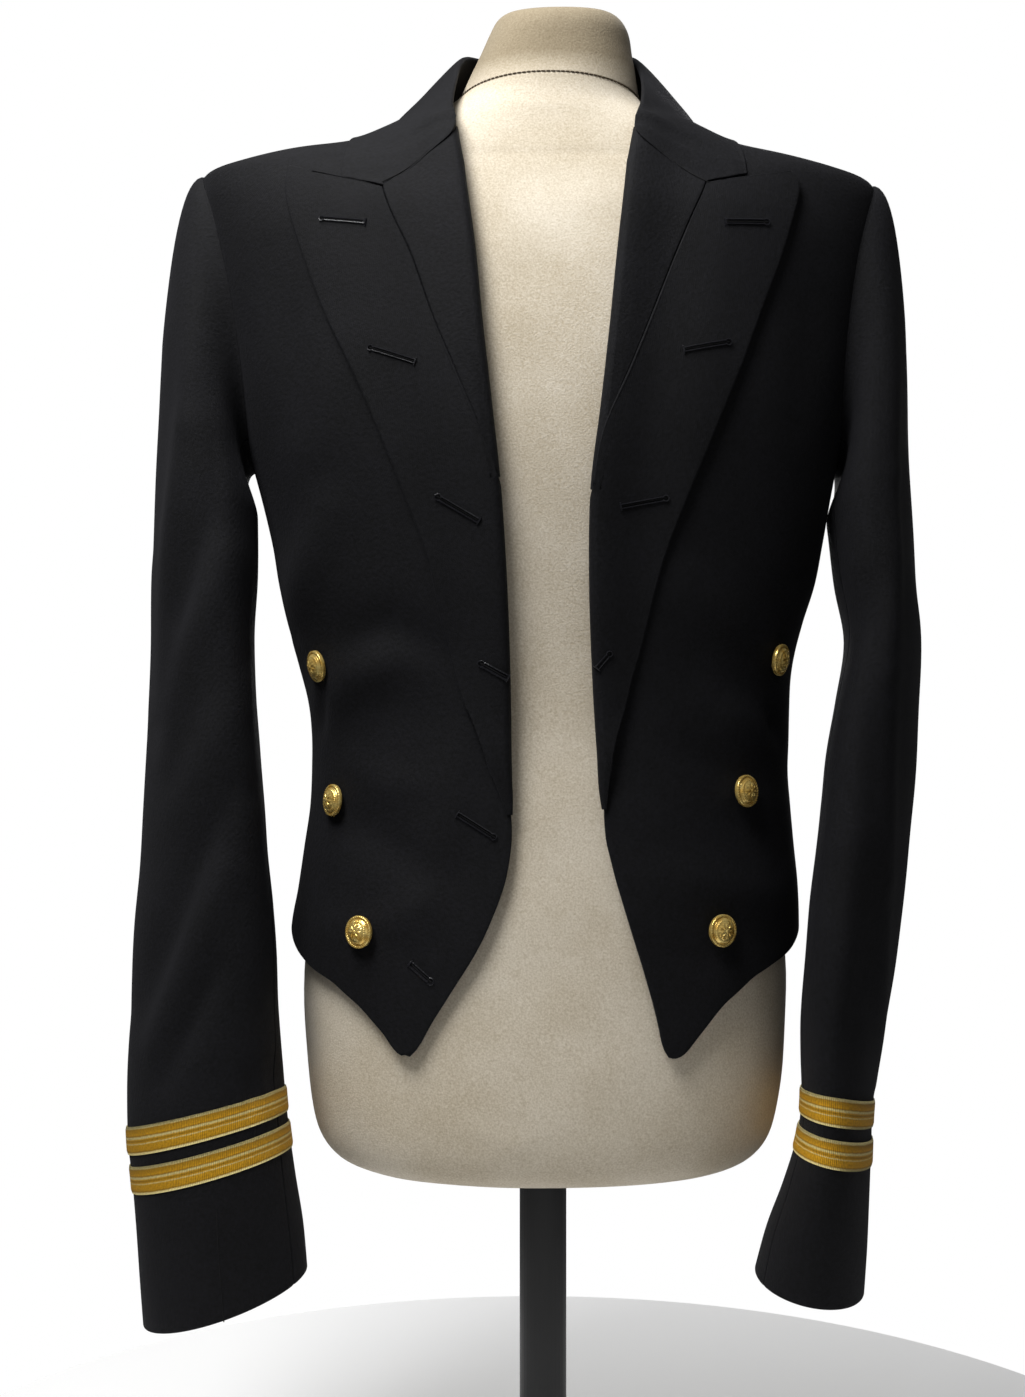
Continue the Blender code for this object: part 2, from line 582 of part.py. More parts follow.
def build_front(side):
    """A front, from its cut-away edge to the side seam, armhole and shoulder seam."""
    sign = SIDES[side]
    columns = 13
    right = [(sign * angle, h) for angle, h in body_rows("front")]
    bottom_h = []
    for c in range(columns):
        bottom_h.append(blend(FRONT_HEM, "at", c / (columns - 1), "z"))
    start = front_edge(side, TIP_Z)
    side_low = right[0]
    bottom = []
    for c, z in enumerate(bottom_h):
        v = c / (columns - 1)
        angle = start[0] * (1 - v) + side_low[0] * v
        bottom.append((angle, locate_side(z)))
    neck = [(sign * math.radians(a), h) for a, h in NECKLINE]
    climb = len(right) - len(neck)
    left = [front_edge(side, TIP_Z + (GORGE_Z - TIP_Z) * k / (climb - 1)) for k in range(climb)] + neck
    top = []
    for c in range(columns):
        v = c / (columns - 1)
        top.append((sign * math.pi / 2, NECK_POINT + (SHOULDER_TIP - NECK_POINT) * v))
    left[-1] = top[0]
    right[-1] = top[-1]
    grid = coons(left, right, bottom, top)
    return panel("front_" + side, side, grid)


def build_back(side):
    """Half of the back, from the centre seam to the side seam, armhole and shoulder seam."""
    sign = SIDES[side]
    columns = 11
    right = [(sign * angle, h) for angle, h in body_rows("back")]
    bottom = []
    for c in range(columns):
        v = c / (columns - 1)
        z = SIDE_HEM_Z - BACK_HEM_POINT * (1 - v) ** 1.3
        bottom.append((sign * (math.pi - v * math.pi / 2), locate_side(z)))
    rows = len(right)
    left = [(sign * math.pi, bottom[0][1] + (NECK_POINT - 0.6 - bottom[0][1]) * k / (rows - 1)) for k in range(rows)]
    top = []
    neck_cols = 4
    for c in range(columns):
        if c < neck_cols:
            v = c / neck_cols
            top.append((sign * (math.pi - v * math.pi / 2), NECK_POINT - 0.6 * (1 - v)))
        else:
            v = (c - neck_cols) / (columns - 1 - neck_cols)
            top.append((sign * math.pi / 2, NECK_POINT + (SHOULDER_TIP - NECK_POINT) * v))
    left[-1] = top[0]
    right[-1] = top[-1]
    grid = coons(left, right, bottom, top)
    return panel("back_" + side, side, grid, has_back_seam=True)


def sleeve_rows(side):
    """The stations of a sleeve from the armhole to the cuff."""
    return [0.0, 0.1, 0.22, 0.38, 0.58, 0.8] + [1.0 + k for k in range(len(SLEEVE[side]))]


def sleeve_panel(name, side, first, last):
    """One of the two pieces of a sleeve, between two points of the armhole."""
    inner, outer = [], []
    total = 2 * LOOP_HALF
    for t in sleeve_rows(side):
        points, normals = [], []
        for k in range(first, last + 1):
            turn = (k / total) % 1.0
            points.append(sleeve_point(side, turn, t))
            normals.append(seam_normal(side, k % total) if t == 0.0 else sleeve_normal(side, turn, t))
        points = pull_in(points, SEAM_GAP / 2)
        inner.append(points)
        outer.append([p + n * CLOTH for p, n in zip(points, normals)])
    return wall(name, inner, outer)


def build_lace(side, which):
    """A stripe of lace round the cuff, made from the sleeve's points moved out."""
    rows = SLEEVE[side]
    middle = LACE_ROWS[side][which]
    heights = [row.z for row in rows]
    inner, outer = [], []
    for z in (middle - LACE_WIDTH / 2, middle + LACE_WIDTH / 2):
        low, high = 0.0, len(rows) - 1.0
        for _ in range(30):
            t = (low + high) / 2
            if spline(heights, t) > z:
                low = t
            else:
                high = t
        ring = [k / (2 * LOOP_HALF) for k in range(2 * LOOP_HALF)]
        points = [(sleeve_point(side, w, 1 + low), sleeve_normal(side, w, 1 + low)) for w in ring]
        inner.append([p + n * (CLOTH + LAYER_GAP) for p, n in points])
        outer.append([p + n * (CLOTH + LAYER_GAP + LACE_THICK) for p, n in points])
    return wall("lace_" + which + "_" + side, inner, outer, GOLD, closed=True, metallic=0.6)


def roll(distance):
    """How far a turned lapel stands off the front, by its distance from the fold."""
    return CLOTH + LAYER_GAP + ROLL_LIFT * math.exp(-(distance / ROLL_FADE) ** 2)


def layer(rows, side):
    """Inner and outer grids of a layer that lies on the front, from rows of (x, z)."""
    inner, outer = [], []
    for row in rows:
        low, high = [], []
        for x, z in row:
            angle, h = locate(x, z)
            edge_x = blend(FRONT_EDGE, "z", min(z, GORGE_Z), side)
            out = roll(abs(x - edge_x))
            point, normal = body(angle, h)
            low.append(point + normal * out)
            high.append(point + normal * (out + CLOTH))
        inner.append(low)
        outer.append(high)
    return inner, outer


def between(a, b, count):
    """Evenly spaced points from a to b."""
    return [tuple(p * (1 - k / (count - 1)) + q * k / (count - 1) for p, q in zip(a, b)) for k in range(count)]


def build_lapel(side):
    """The outer strip of a turned lapel with its peak, down to the break."""
    sign = SIDES[side]
    rows = []
    for k, row in enumerate(LAPEL[side]):
        seam = (row.seam_x + sign * SEAM_GAP, row.seam_z)
        rows.append(between(seam, (row.edge_x, row.edge_z), 7))
        if k + 1 < len(LAPEL[side]):
            n = LAPEL[side][k + 1]
            seam = ((row.seam_x + n.seam_x) / 2 + sign * SEAM_GAP, (row.seam_z + n.seam_z) / 2)
            rows.append(between(seam, ((row.edge_x + n.edge_x) / 2, (row.edge_z + n.edge_z) / 2), 7))
    inner, outer = layer(rows, side)
    return wall("lapel_" + side, inner, outer)


def build_facing(side):
    """The inner triangle of a turned lapel, between the roll line, the gorge and the strip."""
    sign = SIDES[side]
    rows = []
    table = LAPEL[side][:FACING_ROWS]
    for k, row in enumerate(table):
        share = k / (FACING_ROWS - 1)
        z_fold = GORGE_Z - 4 + (row.seam_z - GORGE_Z + 4) * (0.15 + 0.85 * share if k else 0.0)
        fold = (blend(FRONT_EDGE, "z", z_fold, side), z_fold)
        seam = (row.seam_x - sign * SEAM_GAP, row.seam_z)
        if k == FACING_ROWS - 1:
            fold = (seam[0] - sign * 4.0, seam[1])
        rows.append(between(fold, seam, 6))
    full = []
    for a, b in zip(rows, rows[1:]):
        full.append(a)
        full.append([tuple((p + q) / 2 for p, q in zip(u, v)) for u, v in zip(a, b)])
    full.append(rows[-1])
    inner, outer = layer(full, side)
    return wall("facing_" + side, inner, outer)


def station_points(side, station):
    """A station of the collar on one side, or the back one for both."""
    sign = SIDES[side]
    lean = NECK_LEAN if side == "left" else 0.0
    return [Vector((sign * p[0] + lean * min(max((p[2] - 832) / 24, 0), 1), p[1], p[2])) for p in station]


def lift_clear(point, out):
    """Moves a point of the collar up to out mm off the inner face of the body beneath it."""
    neck = JACKET[NECK_POINT]
    if math.hypot((point.x - neck.centre) / neck.width, point.y / neck.front) < 1.0:
        return point
    low, high = 12.0, float(NECK_POINT)
    angle = 0.0
    for _ in range(30):
        h = (low + high) / 2
        ring = ring_at(JACKET, h)
        share = (point.x - ring.centre) / ring.width
        if abs(share) >= 1:
            high = h
            continue
        angle = math.asin(math.copysign(abs(share) ** (ring.round / 2), share))
        angle = angle if point.y < 0 else math.pi - angle
        if abs(bust(JACKET, angle, h).y) > abs(point.y):
            low = h
        else:
            high = h
    surface, normal = body(angle, low)
    height = (point - surface).dot(normal)
    return point + normal * max(out - height, 0.0)


def build_collar():
    """The collar: one cloth, up from the neck seam, over the roll line and down to the leaf edge."""
    stations = [station_points("right", s) for s in COLLAR_SIDE]
    stations.append([Vector(p) for p in COLLAR_BACK])
    stations += [station_points("left", s) for s in reversed(COLLAR_SIDE)]
    cross_steps, along_steps = 9, 2
    count = (len(stations) - 1) * along_steps + 1
    grid = []
    for r in range(count):
        at = r / along_steps
        marks = [Vector([spline([s[m][axis] for s in stations], at) for axis in range(3)]) for m in range(4)]
        row = []
        for c in range(cross_steps):
            t = 3 * c / (cross_steps - 1)
            point = Vector([spline([m[axis] for m in marks], t) for axis in range(3)])
            row.append(lift_clear(point, COLLAR_OUT))
        grid.append(row)
    inner, outer = [], []
    for r in range(count):
        low, high = [], []
        for c in range(cross_steps):
            along = grid[min(r + 1, count - 1)][c] - grid[max(r - 1, 0)][c]
            cross = grid[r][min(c + 1, cross_steps - 1)] - grid[r][max(c - 1, 0)]
            normal = along.cross(cross).normalized()
            low.append(grid[r][c] - normal * CLOTH / 2)
            high.append(grid[r][c] + normal * CLOTH / 2)
        inner.append(low)
        outer.append(high)
    return wall("collar", inner, outer)


def build_button(side, number, place):
    """A domed gilt button on its shank, seated just off the front."""
    angle, h = locate(place.x, place.z)
    point, normal = body(angle, h, CLOTH + SEAM_GAP + 0.1)
    obj = turned(f"button_{number}_{side}", BUTTON_PROFILE, GILT, 20, 0.3, 1.0)
    turn = Vector((0, 0, 1)).rotation_difference(normal).to_matrix().to_4x4()
    obj.matrix_world = Matrix.Translation(point * MM) @ turn
    return obj


def build():
    """Builds every piece of the jacket, the form and its stand."""
    for side in SIDES:
        build_front(side)
        build_back(side)
        sleeve_panel("top_sleeve_" + side, side, UNDER_FRONT, UNDER_BACK)
        sleeve_panel("under_sleeve_" + side, side, UNDER_BACK, 2 * LOOP_HALF + UNDER_FRONT)
        build_lace(side, "upper")
        build_lace(side, "lower")
        build_lapel(side)
        build_facing(side)
        for number, place in enumerate(BUTTONS[side], 1):
            build_button(side, number, place)
    build_collar()
    solid_of_rings("form_torso", FORM, CALICO, 32)
    solid_of_rings("form_neck", NECK, CALICO, 32)
    turned("stand_base", BASE_PROFILE, BLACK, 48, 0.5, 0.3)
    turned("stand_post", POST_PROFILE, BLACK, 32, 0.5, 0.3)


for old in list(bpy.data.objects):
    bpy.data.objects.remove(old)
PARTS = bpy.data.collections.new("mess_jacket")
bpy.context.scene.collection.children.link(PARTS)
build()
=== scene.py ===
"""A mess jacket worn open on a limbless dress form: finish, folds, sewing, camera and light.

Sizes are in millimetres, turned to metres when a mesh is made. Z is up and the jacket faces -Y.
"left" is the wearer's left, at +X. Angle 0 round the body is the front centre.
"""
from __future__ import annotations

import logging
import math
from dataclasses import dataclass
from enum import Enum
from functools import partial
from typing import Callable, NamedTuple, Sequence

import bpy
import numpy as np
from mathutils import Matrix, Vector

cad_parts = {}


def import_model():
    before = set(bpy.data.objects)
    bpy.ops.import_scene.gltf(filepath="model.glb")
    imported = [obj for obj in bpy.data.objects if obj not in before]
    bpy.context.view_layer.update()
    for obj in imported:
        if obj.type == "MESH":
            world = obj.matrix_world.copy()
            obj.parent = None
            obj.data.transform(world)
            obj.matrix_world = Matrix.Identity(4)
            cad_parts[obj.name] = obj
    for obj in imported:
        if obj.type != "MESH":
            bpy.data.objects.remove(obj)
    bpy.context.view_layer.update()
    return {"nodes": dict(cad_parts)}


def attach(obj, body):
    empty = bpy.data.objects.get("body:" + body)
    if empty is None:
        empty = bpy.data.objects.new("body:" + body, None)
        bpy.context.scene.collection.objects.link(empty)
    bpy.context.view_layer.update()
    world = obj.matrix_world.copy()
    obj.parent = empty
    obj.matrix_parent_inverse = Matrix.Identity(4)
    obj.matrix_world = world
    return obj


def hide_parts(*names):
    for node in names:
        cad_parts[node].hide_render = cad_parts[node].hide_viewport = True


LOG = logging.getLogger("mess_jacket")
MM = 0.001
CLOTH = 2.0
SEAM_GAP = 0.3
HALF_PI = math.pi / 2
LOOK = "_look"
Array = np.ndarray
Reading = Callable[[Array], Array]
Height = Callable[[Array, Array], Array]


class Side(Enum):
    """The wearer's sides, with the sign of their X."""

    RIGHT = -1
    LEFT = 1

    @property
    def word(self) -> str:
        """The side's name as the nodes spell it."""
        return self.name.lower()


class Ring(NamedTuple):
    """One section of a bust: half width, middle, depths, roundness and its three heights."""

    width: float
    centre: float
    front: float
    back: float
    round: float
    z_front: float
    z_side: float
    z_back: float


def level(z: float, width: float, centre: float, front: float, back: float, roundness: float = 2.3) -> Ring:
    """A section that lies level at height z."""
    return Ring(width, centre, front, back, roundness, z, z, z)


class Tube(NamedTuple):
    """A section of a hanging sleeve: its middle, half width, half depth, lean and slope."""

    z: float
    x: float
    y: float
    width: float
    depth: float
    lean: float
    slope: float


class Edge(NamedTuple):
    """Where the two fronts turn at a height."""

    z: float
    right: float
    left: float


class Lapel(NamedTuple):
    """A row of a lapel: the strip's seam and its outer edge."""

    seam_x: float
    seam_z: float
    edge_x: float
    edge_z: float


class Fold(NamedTuple):
    """A soft ridge (+) or trough (-) seen from the front: three points, reach and height."""

    x1: float
    z1: float
    x2: float
    z2: float
    x3: float
    z3: float
    reach: float
    height: float


class Rise(NamedTuple):
    """A soft rise from 0 to 1: where it starts and how far it runs, in millimetres."""

    start: float
    run: float

    def at(self, value: Array) -> Array:
        """The rise at a value."""
        return smooth_step((value - self.start) / self.run)


class Station(NamedTuple):
    """A station of the collar: its seam, roll, fall and leaf edge."""

    seam: tuple
    roll: tuple
    fall: tuple
    leaf: tuple


class Button(NamedTuple):
    """Where a button sits, seen from the front."""

    x: float
    z: float


class Hem(NamedTuple):
    """The hem of a front from its tip (0) to the side seam (1)."""

    at: float
    z: float


JACKET = (
    level(285, 149.5, 0.5, 106, 108),
    level(325, 149.5, 0.5, 104.5, 107),
    level(361, 149, 1, 103.5, 105),
    level(385, 146.5, 2.7, 102.5, 103),
    level(409, 143.8, 3.6, 101, 101),
    level(433, 141.1, 3.9, 99.5, 99),
    level(457, 139.6, 3.6, 97.5, 97),
    level(487, 140, 4.2, 96.5, 96),
    level(517, 144.4, 1.5, 98.5, 99),
    level(541, 149.8, 2, 101, 103),
    level(565, 157.3, 2.1, 103.5, 107),
    level(589, 161.8, 2.2, 105.5, 111),
    level(615, 167, 1.5, 107.5, 114),
    level(645, 174, 0.5, 108.5, 117),
    level(680, 181, -0.5, 107, 119),
    level(715, 187, -1.5, 102.5, 119),
    level(745, 192, -2, 97, 116),
    Ring(196, -2.5, 90.5, 111, 2.3, 770, 771, 774),
    Ring(198.5, -3, 83.5, 105, 2.3, 788, 792, 799),
    Ring(199.3, -3, 78.5, 99, 2.25, 800, 802.5, 811),
    Ring(197, -3, 75.5, 94, 2.2, 806, 808.7, 819),
    Ring(186, -2.5, 73, 88, 2.2, 811, 812.5, 826),
    Ring(160, -2, 71, 80, 2.2, 817, 818.6, 835),
    Ring(130, -1, 68.5, 73, 2.2, 823, 825.8, 843),
    Ring(105, 0, 66, 68, 2.2, 829, 831.5, 849),
    Ring(86, 0.5, 64, 64, 2.2, 835, 836.1, 854),
    Ring(72, 1, 62, 61, 2.2, 841, 840.5, 858),
    Ring(63, 1.5, 60, 58, 2.2, 846, 846, 862),
)
SHOULDER_TIP = 20
NECK_POINT = 27

FORM = (
    level(221, 98, 1, 66, 66),
    level(223.5, 112, 1, 78, 79),
    level(230, 125, 1, 89, 90),
    level(242, 134, 1, 96, 98),
    level(262, 139, 1, 100, 104),
    level(290, 142, 1, 101, 106),
    level(335, 143.5, 1, 99.5, 104),
    level(385, 138, 1.5, 97, 98),
    level(433, 131, 2, 93.5, 92),
    level(487, 128, 2, 90.5, 89),
    level(541, 135, 1.5, 94.5, 95),
    level(600, 149, 1, 100.5, 105),
    level(650, 158, 0.5, 102.5, 110),
    level(700, 165, 0, 99, 112),
    level(740, 169, -0.5, 92, 109),
    Ring(172, -1, 84, 103, 2.3, 770, 771, 775),
    Ring(172.5, -1.5, 77, 96, 2.3, 788, 791, 798),
    Ring(166, -1.5, 72.5, 89, 2.25, 799, 806, 812),
    Ring(157, -1.5, 70.5, 84, 2.2, 804, 813.5, 820),
    Ring(146, -1.5, 69, 80, 2.2, 809, 820, 826),
    Ring(120, -0.5, 66, 72, 2.2, 818, 827, 836),
    Ring(95, 0.5, 63, 66, 2.2, 827, 832.8, 845),
    Ring(76, 1, 60.5, 60.5, 2.2, 835, 838.2, 853),
    Ring(63, 2, 57.5, 56, 2.2, 843, 844.5, 861),
    Ring(54.5, 3.4, 54.3, 52.2, 2.2, 855.2, 850.5, 866),
)
NECK = (
    Ring(54.5, 3.4, 54.3, 52.2, 2.2, 855.5, 850.8, 866.3),
    Ring(49.5, 6, 51.5, 50, 2.2, 864, 868, 878),
    Ring(45.6, 7.8, 49, 48, 2.2, 877, 880, 887),
    Ring(41.9, 9.4, 46.5, 46, 2.2, 889, 892, 897),
    Ring(37.1, 9.2, 42, 42, 2.2, 896, 900, 903),
    Ring(29, 8.8, 34, 34, 2.2, 899, 904, 906),
    Ring(14, 9, 17, 17, 2.2, 902, 907, 908),
)

FOLDS = (
    Fold(-123, 600, -136, 565, -141, 534, 13, 4.5),
    Fold(-83, 519, -108, 507, -129, 482, 13, 4),
    Fold(-116, 528, -88, 537, -58, 522, 12, -2.5),
    Fold(-122, 430, -98, 423, -57, 396, 15, -3),
    Fold(-44, 490, -52, 441, -72, 372, 12, 1.8),
    Fold(93, 493, 108, 484, 128, 470, 13, 3.5),
    Fold(68, 399, 92, 394, 124, 384, 13, 2.8),
    Fold(100, 440, 116, 425, 132, 410, 15, -3.2),
    Fold(84, 560, 108, 540, 134, 524, 15, 2.5),
)

FRONT_EDGE = (
    Edge(297, -75, 67),
    Edge(308, -68.2, 63.3),
    Edge(319, -62.3, 61),
    Edge(330, -55.5, 58.3),
    Edge(341, -48.6, 55.2),
    Edge(352, -41.6, 52),
    Edge(363.5, -35.2, 48.4),
    Edge(374.5, -30.2, 45),
    Edge(385.5, -25.8, 41.7),
    Edge(396.5, -22.2, 38.4),
    Edge(407.5, -20, 35.6),
    Edge(419, -18.6, 32.8),
    Edge(430, -18, 31),
    Edge(450, -18.2, 28.4),
    Edge(504, -18.8, 25.1),
    Edge(559, -20.7, 23),
    Edge(612, -24, 23.6),
    Edge(656, -28.8, 29),
    Edge(700, -33.8, 34.1),
    Edge(745, -38.3, 38.9),
    Edge(793, -44.7, 44.7),
    Edge(819, -48.6, 49.2),
)
TIP_Z = 297
GORGE_Z = 819

LAPEL = {
    "right": (Lapel(-89.6, 779.6, -143.5, 796.5), Lapel(-87.6, 772.5, -144.6, 783),
              Lapel(-82.5, 760, -140, 763.5), Lapel(-72.8, 739, -131.5, 739),
              Lapel(-60.5, 704, -120.2, 710), Lapel(-47, 672, -104, 676),
              Lapel(-34, 640.5, -88, 638.5), Lapel(-24, 612, -74.5, 604),
              Lapel(-20.9, 572, -63.2, 571.5), Lapel(-19.4, 536, -56, 536),
              Lapel(-19, 500, -46.4, 500), Lapel(-19.1, 465, -33, 465),
              Lapel(-19.9, 433, -25, 433)),
    "left": (Lapel(88.6, 782.3, 138.5, 793.5), Lapel(86, 775.5, 142, 785),
             Lapel(80, 762.5, 136.4, 763.5), Lapel(70, 739, 128.5, 740),
             Lapel(56.5, 705, 114.8, 704.5), Lapel(44.5, 676, 104, 676),
             Lapel(29.5, 641, 88.8, 638.5), Lapel(24, 605, 75, 604.5),
             Lapel(22.8, 572, 63.4, 572.5), Lapel(24, 536, 54.4, 536),
             Lapel(25.3, 500, 45.4, 500), Lapel(27, 467, 36.5, 467),
             Lapel(29.6, 436, 34, 436)),
}
COLLAR_SIDE = (
    Station((88.8, -89.5, 784), (97, -87, 787), (106, -84, 789.5), (116, -79.5, 793)),
    Station((69, -86, 799.5), (82, -80.5, 804.5), (97, -72, 808.5), (113, -62, 810)),
    Station((50.5, -79, 817.5), (61, -73, 823), (83, -56, 827), (110.5, -36, 826)),
    Station((57, -43.5, 844.5), (50, -41.5, 854), (71, -27, 844.5), (108, -10, 834)),
    Station((62, -8, 851), (48.5, -14, 871), (66, -2, 862), (102, 20, 838)),
    Station((59.5, 25, 860), (45, 17, 890), (60, 28, 879), (88, 47, 850)),
    Station((40, 53, 867), (32, 47.5, 897.5), (40.5, 56.5, 884), (55, 72, 857)),
)
COLLAR_BACK = Station((2, 61, 866.5), (5, 57, 900), (4, 68, 884), (2, 82, 859))
# The neck leans to the wearer's left, and the collar on that side with it.
NECK_LEAN = 9.0

SLEEVE = {
    "right": (Tube(600, -202.7, -4, 33.6, 64, 30, 0), Tube(564, -202.3, -8, 34.4, 63, 34, 0),
              Tube(529, -202.7, -12, 33.9, 62, 38, 0), Tube(493, -202.5, -16, 35.3, 61, 40, 0),
              Tube(462, -201, -21, 37.3, 60, 40, 0), Tube(432, -199.7, -26, 38.7, 58, 38, 0.02),
              Tube(402, -199.2, -30, 39.8, 56, 36, 0.05), Tube(372, -198.3, -35, 42, 54, 32, 0.10),
              Tube(342, -197, -40, 43.4, 52, 28, 0.15), Tube(312, -196.4, -45, 44, 50, 24, 0.20),
              Tube(284, -195.2, -50, 44.5, 48, 20, 0.25), Tube(257, -193.2, -54, 44.5, 47, 16, 0.29),
              Tube(237, -190.4, -57, 44.1, 46, 14, 0.31), Tube(212, -186.8, -61, 44.3, 45, 12, 0.33),
              Tube(186, -183.2, -64, 45, 45, 10, 0.35), Tube(160, -180.5, -67, 45, 45, 10, 0.37)),
    "left": (Tube(600, 195.9, -4, 26.7, 66, -25, 0), Tube(564, 198.4, -8, 26.6, 66, -30, 0),
             Tube(529, 201.4, -12, 25.2, 66, -34, 0), Tube(493, 197.4, -17, 27.8, 65, -36, 0),
             Tube(462, 193.4, -21, 29.5, 64, -36, 0), Tube(432, 189.9, -26, 29.6, 62, -36, -0.02),
             Tube(402, 186.2, -30, 30, 61, -36, -0.04), Tube(372, 181.5, -35, 29.8, 60, -36, -0.08),
             Tube(342, 177.2, -40, 28.9, 59, -36, -0.12), Tube(312, 172.4, -45, 26.4, 58, -36, -0.16),
             Tube(287, 169.2, -49, 23.8, 57, -36, -0.20), Tube(264, 167.4, -53, 21.9, 56, -34, -0.24),
             Tube(243, 165.2, -56, 22, 54, -30, -0.25), Tube(217, 160, -60, 24.8, 52, -25, -0.24),
             Tube(192, 154.2, -63, 28.3, 50, -20, -0.23), Tube(168, 149.5, -66, 30, 48, -15, -0.22)),
}
# The armhole: its lowest point, its reach to the front and the back, and its steps from underarm to shoulder.
UNDERARM_Z = 635
ARMHOLE_FRONT = 42.0
ARMHOLE_BACK = 48.0
LOOP_HALF = 10
# The steps at which the sleeve's two seams start, in front and behind.
FORE_SEAM = 2.0
UNDER_BACK = 16
# The middles of the two stripes of lace on each cuff, their width, their thickness and their height off it.
LACE_ROWS = {"right": {"upper": 257.0, "lower": 236.8}, "left": {"upper": 264.5, "lower": 243.7}}
LACE_WIDTH = 14.3
LACE_THICK = 1.0
LACE_GAP = 0.25

BUTTONS = {
    "right": (Button(-127.4, 516.6), Button(-119.0, 438.8), Button(-101.7, 367.0)),
    "left": (Button(131.0, 520.1), Button(112.6, 444.6), Button(97.4, 368.5)),
}
FRONT_HEM = {
    "right": (Hem(0.0, 299.5), Hem(0.03, 300), Hem(0.07, 310), Hem(0.2, 326), Hem(0.36, 338),
              Hem(0.5, 343), Hem(0.66, 350), Hem(0.85, 359), Hem(1.0, 366)),
    "left": (Hem(0.0, 298.5), Hem(0.03, 298.5), Hem(0.07, 306), Hem(0.2, 327), Hem(0.36, 341),
             Hem(0.5, 347), Hem(0.66, 352), Hem(0.85, 360), Hem(1.0, 366)),
}
# The hem at the side seam, its drop to the centre of the back, and the neckline as degrees and rows.
SIDE_HEM_Z = 366.0
BACK_HEM_POINT = 20.0
NECKLINE = ((38, 23.6), (60, 25.2), (76, 26.4), (89.8, 27.0))
NECK_DIP = 0.6
SEAM_ROWS = 10
# The row of the lapel's table where the facing ends, and the gap between the lapel's two pieces.
FACING_END = 6.85
STRIP_GAP = 0.5
# The collar's height off the body, how its ends close the notch, and how much less than the neck it leans.
COLLAR_REST = 3.1
NOTCH_CLOSE = {"right": 1.8, "left": -1.6}
LEAN_BACK = 2.2
# The rolled fold of lapel and collar: how far it stands off, and how soon it settles.
ROLL_LIFT = 4.2
ROLL_FADE = 16.0
# The front's edge stands this much inside the round of the turned lapel, from these heights up.
EDGE_INSIDE = 4.2
LAPEL_TURNS = Rise(415, 55)
# How far each shoulder lies below the sections' own, and the hollow between neck and shoulder tip.
SHOULDER_DROP = {"right": 2.6, "left": 8.0}
DROP_OUT = Rise(60, 130)
DROP_UP = Rise(730, 70)
SHOULDER_DIP = {"right": 6.0, "left": 5.5}
DIP_X = 104
DIP_REACH = 32
DIP_OUT = Rise(50, 20)
DIP_UP = Rise(765, 45)
# The waves of pressed cloth: how many, and the angle between them. Rows are found by so many halvings.
WAVES = 5
GOLDEN_TURN = 2.399
HALVINGS = 28
FORM_FOLDS = (
    Fold(-42, 262, -30, 256, -16, 252, 4, 0.8),
    Fold(-30, 246, -18, 250, -6, 258, 4, 0.7),
    Fold(10, 300, 22, 290, 40, 286, 6, 0.6),
)
TOP = float(len(JACKET) - 1)
SLEEVE_FOLDS = {
    Side.RIGHT: (
        Fold(-190.7, 756.6, -198.1, 712.7, -203.8, 654.0, 8, 4.0),
        Fold(-203.8, 654.0, -213.0, 590.0, -220.9, 492.2, 9, 4.0),
        Fold(-180.5, 577.7, -202.1, 518.9, -215.8, 461.9, 10, 3.8),
        Fold(-188.0, 640.0, -190.0, 600.0, -205.0, 545.0, 9, -2.6),
        Fold(-174.8, 443.7, -198.7, 393.5, -229.5, 313.7, 10, -4.0),
        Fold(-178.2, 399.0, -193.0, 362.0, -216.4, 305.0, 9, 3.2),
        Fold(-181.6, 348.0, -197.6, 313.7, -211.2, 284.1, 8, -3.2),
        Fold(-172.0, 500.0, -186.0, 470.0, -208.0, 430.0, 11, 2.4),
        Fold(-163.4, 293.0, -163.0, 283.0, -162.5, 272.0, 4, -1.8),
        Fold(-154.2, 296.0, -153.5, 287.0, -153.0, 276.0, 4, -1.8),
        Fold(-222.0, 690.0, -226.0, 640.0, -230.0, 590.0, 12, -2.4)),
    Side.LEFT: (
        Fold(198.6, 738.0, 198.6, 682.5, 196.9, 625.5, 6, 3.2),
        Fold(196.9, 625.5, 195.2, 568.5, 192.3, 511.5, 6, 3.4),
        Fold(192.3, 511.5, 191.2, 461.9, 190.6, 393.5, 6, 3.0),
        Fold(190.6, 393.5, 187.8, 336.5, 188.9, 277.3, 6, 2.4),
        Fold(214.0, 700.0, 212.0, 640.0, 208.0, 560.0, 14, -2.0),
        Fold(180.0, 560.0, 176.0, 500.0, 178.0, 440.0, 12, -2.4),
        Fold(166.0, 420.0, 160.0, 380.0, 158.0, 330.0, 11, 2.2),
        Fold(176.0, 360.0, 170.0, 330.0, 164.0, 300.0, 8, -1.8)),
}
HIDDEN_SLEEVE_FOLDS = {
    Side.RIGHT: (
        Fold(-196, 740, -206, 660, -212, 560, 14, 3.0),
        Fold(-214, 590, -200, 520, -192, 470, 12, -3.0),
        Fold(-184, 480, -204, 420, -222, 360, 12, 3.0),
        Fold(-206, 380, -192, 330, -176, 290, 11, -2.6)),
    Side.LEFT: (
        Fold(196, 740, 206, 650, 208, 560, 14, 3.0),
        Fold(206, 560, 196, 480, 184, 420, 12, -3.0),
        Fold(174, 430, 186, 380, 194, 330, 11, 2.6),
        Fold(178, 350, 170, 310, 164, 280, 10, -2.2)),
}
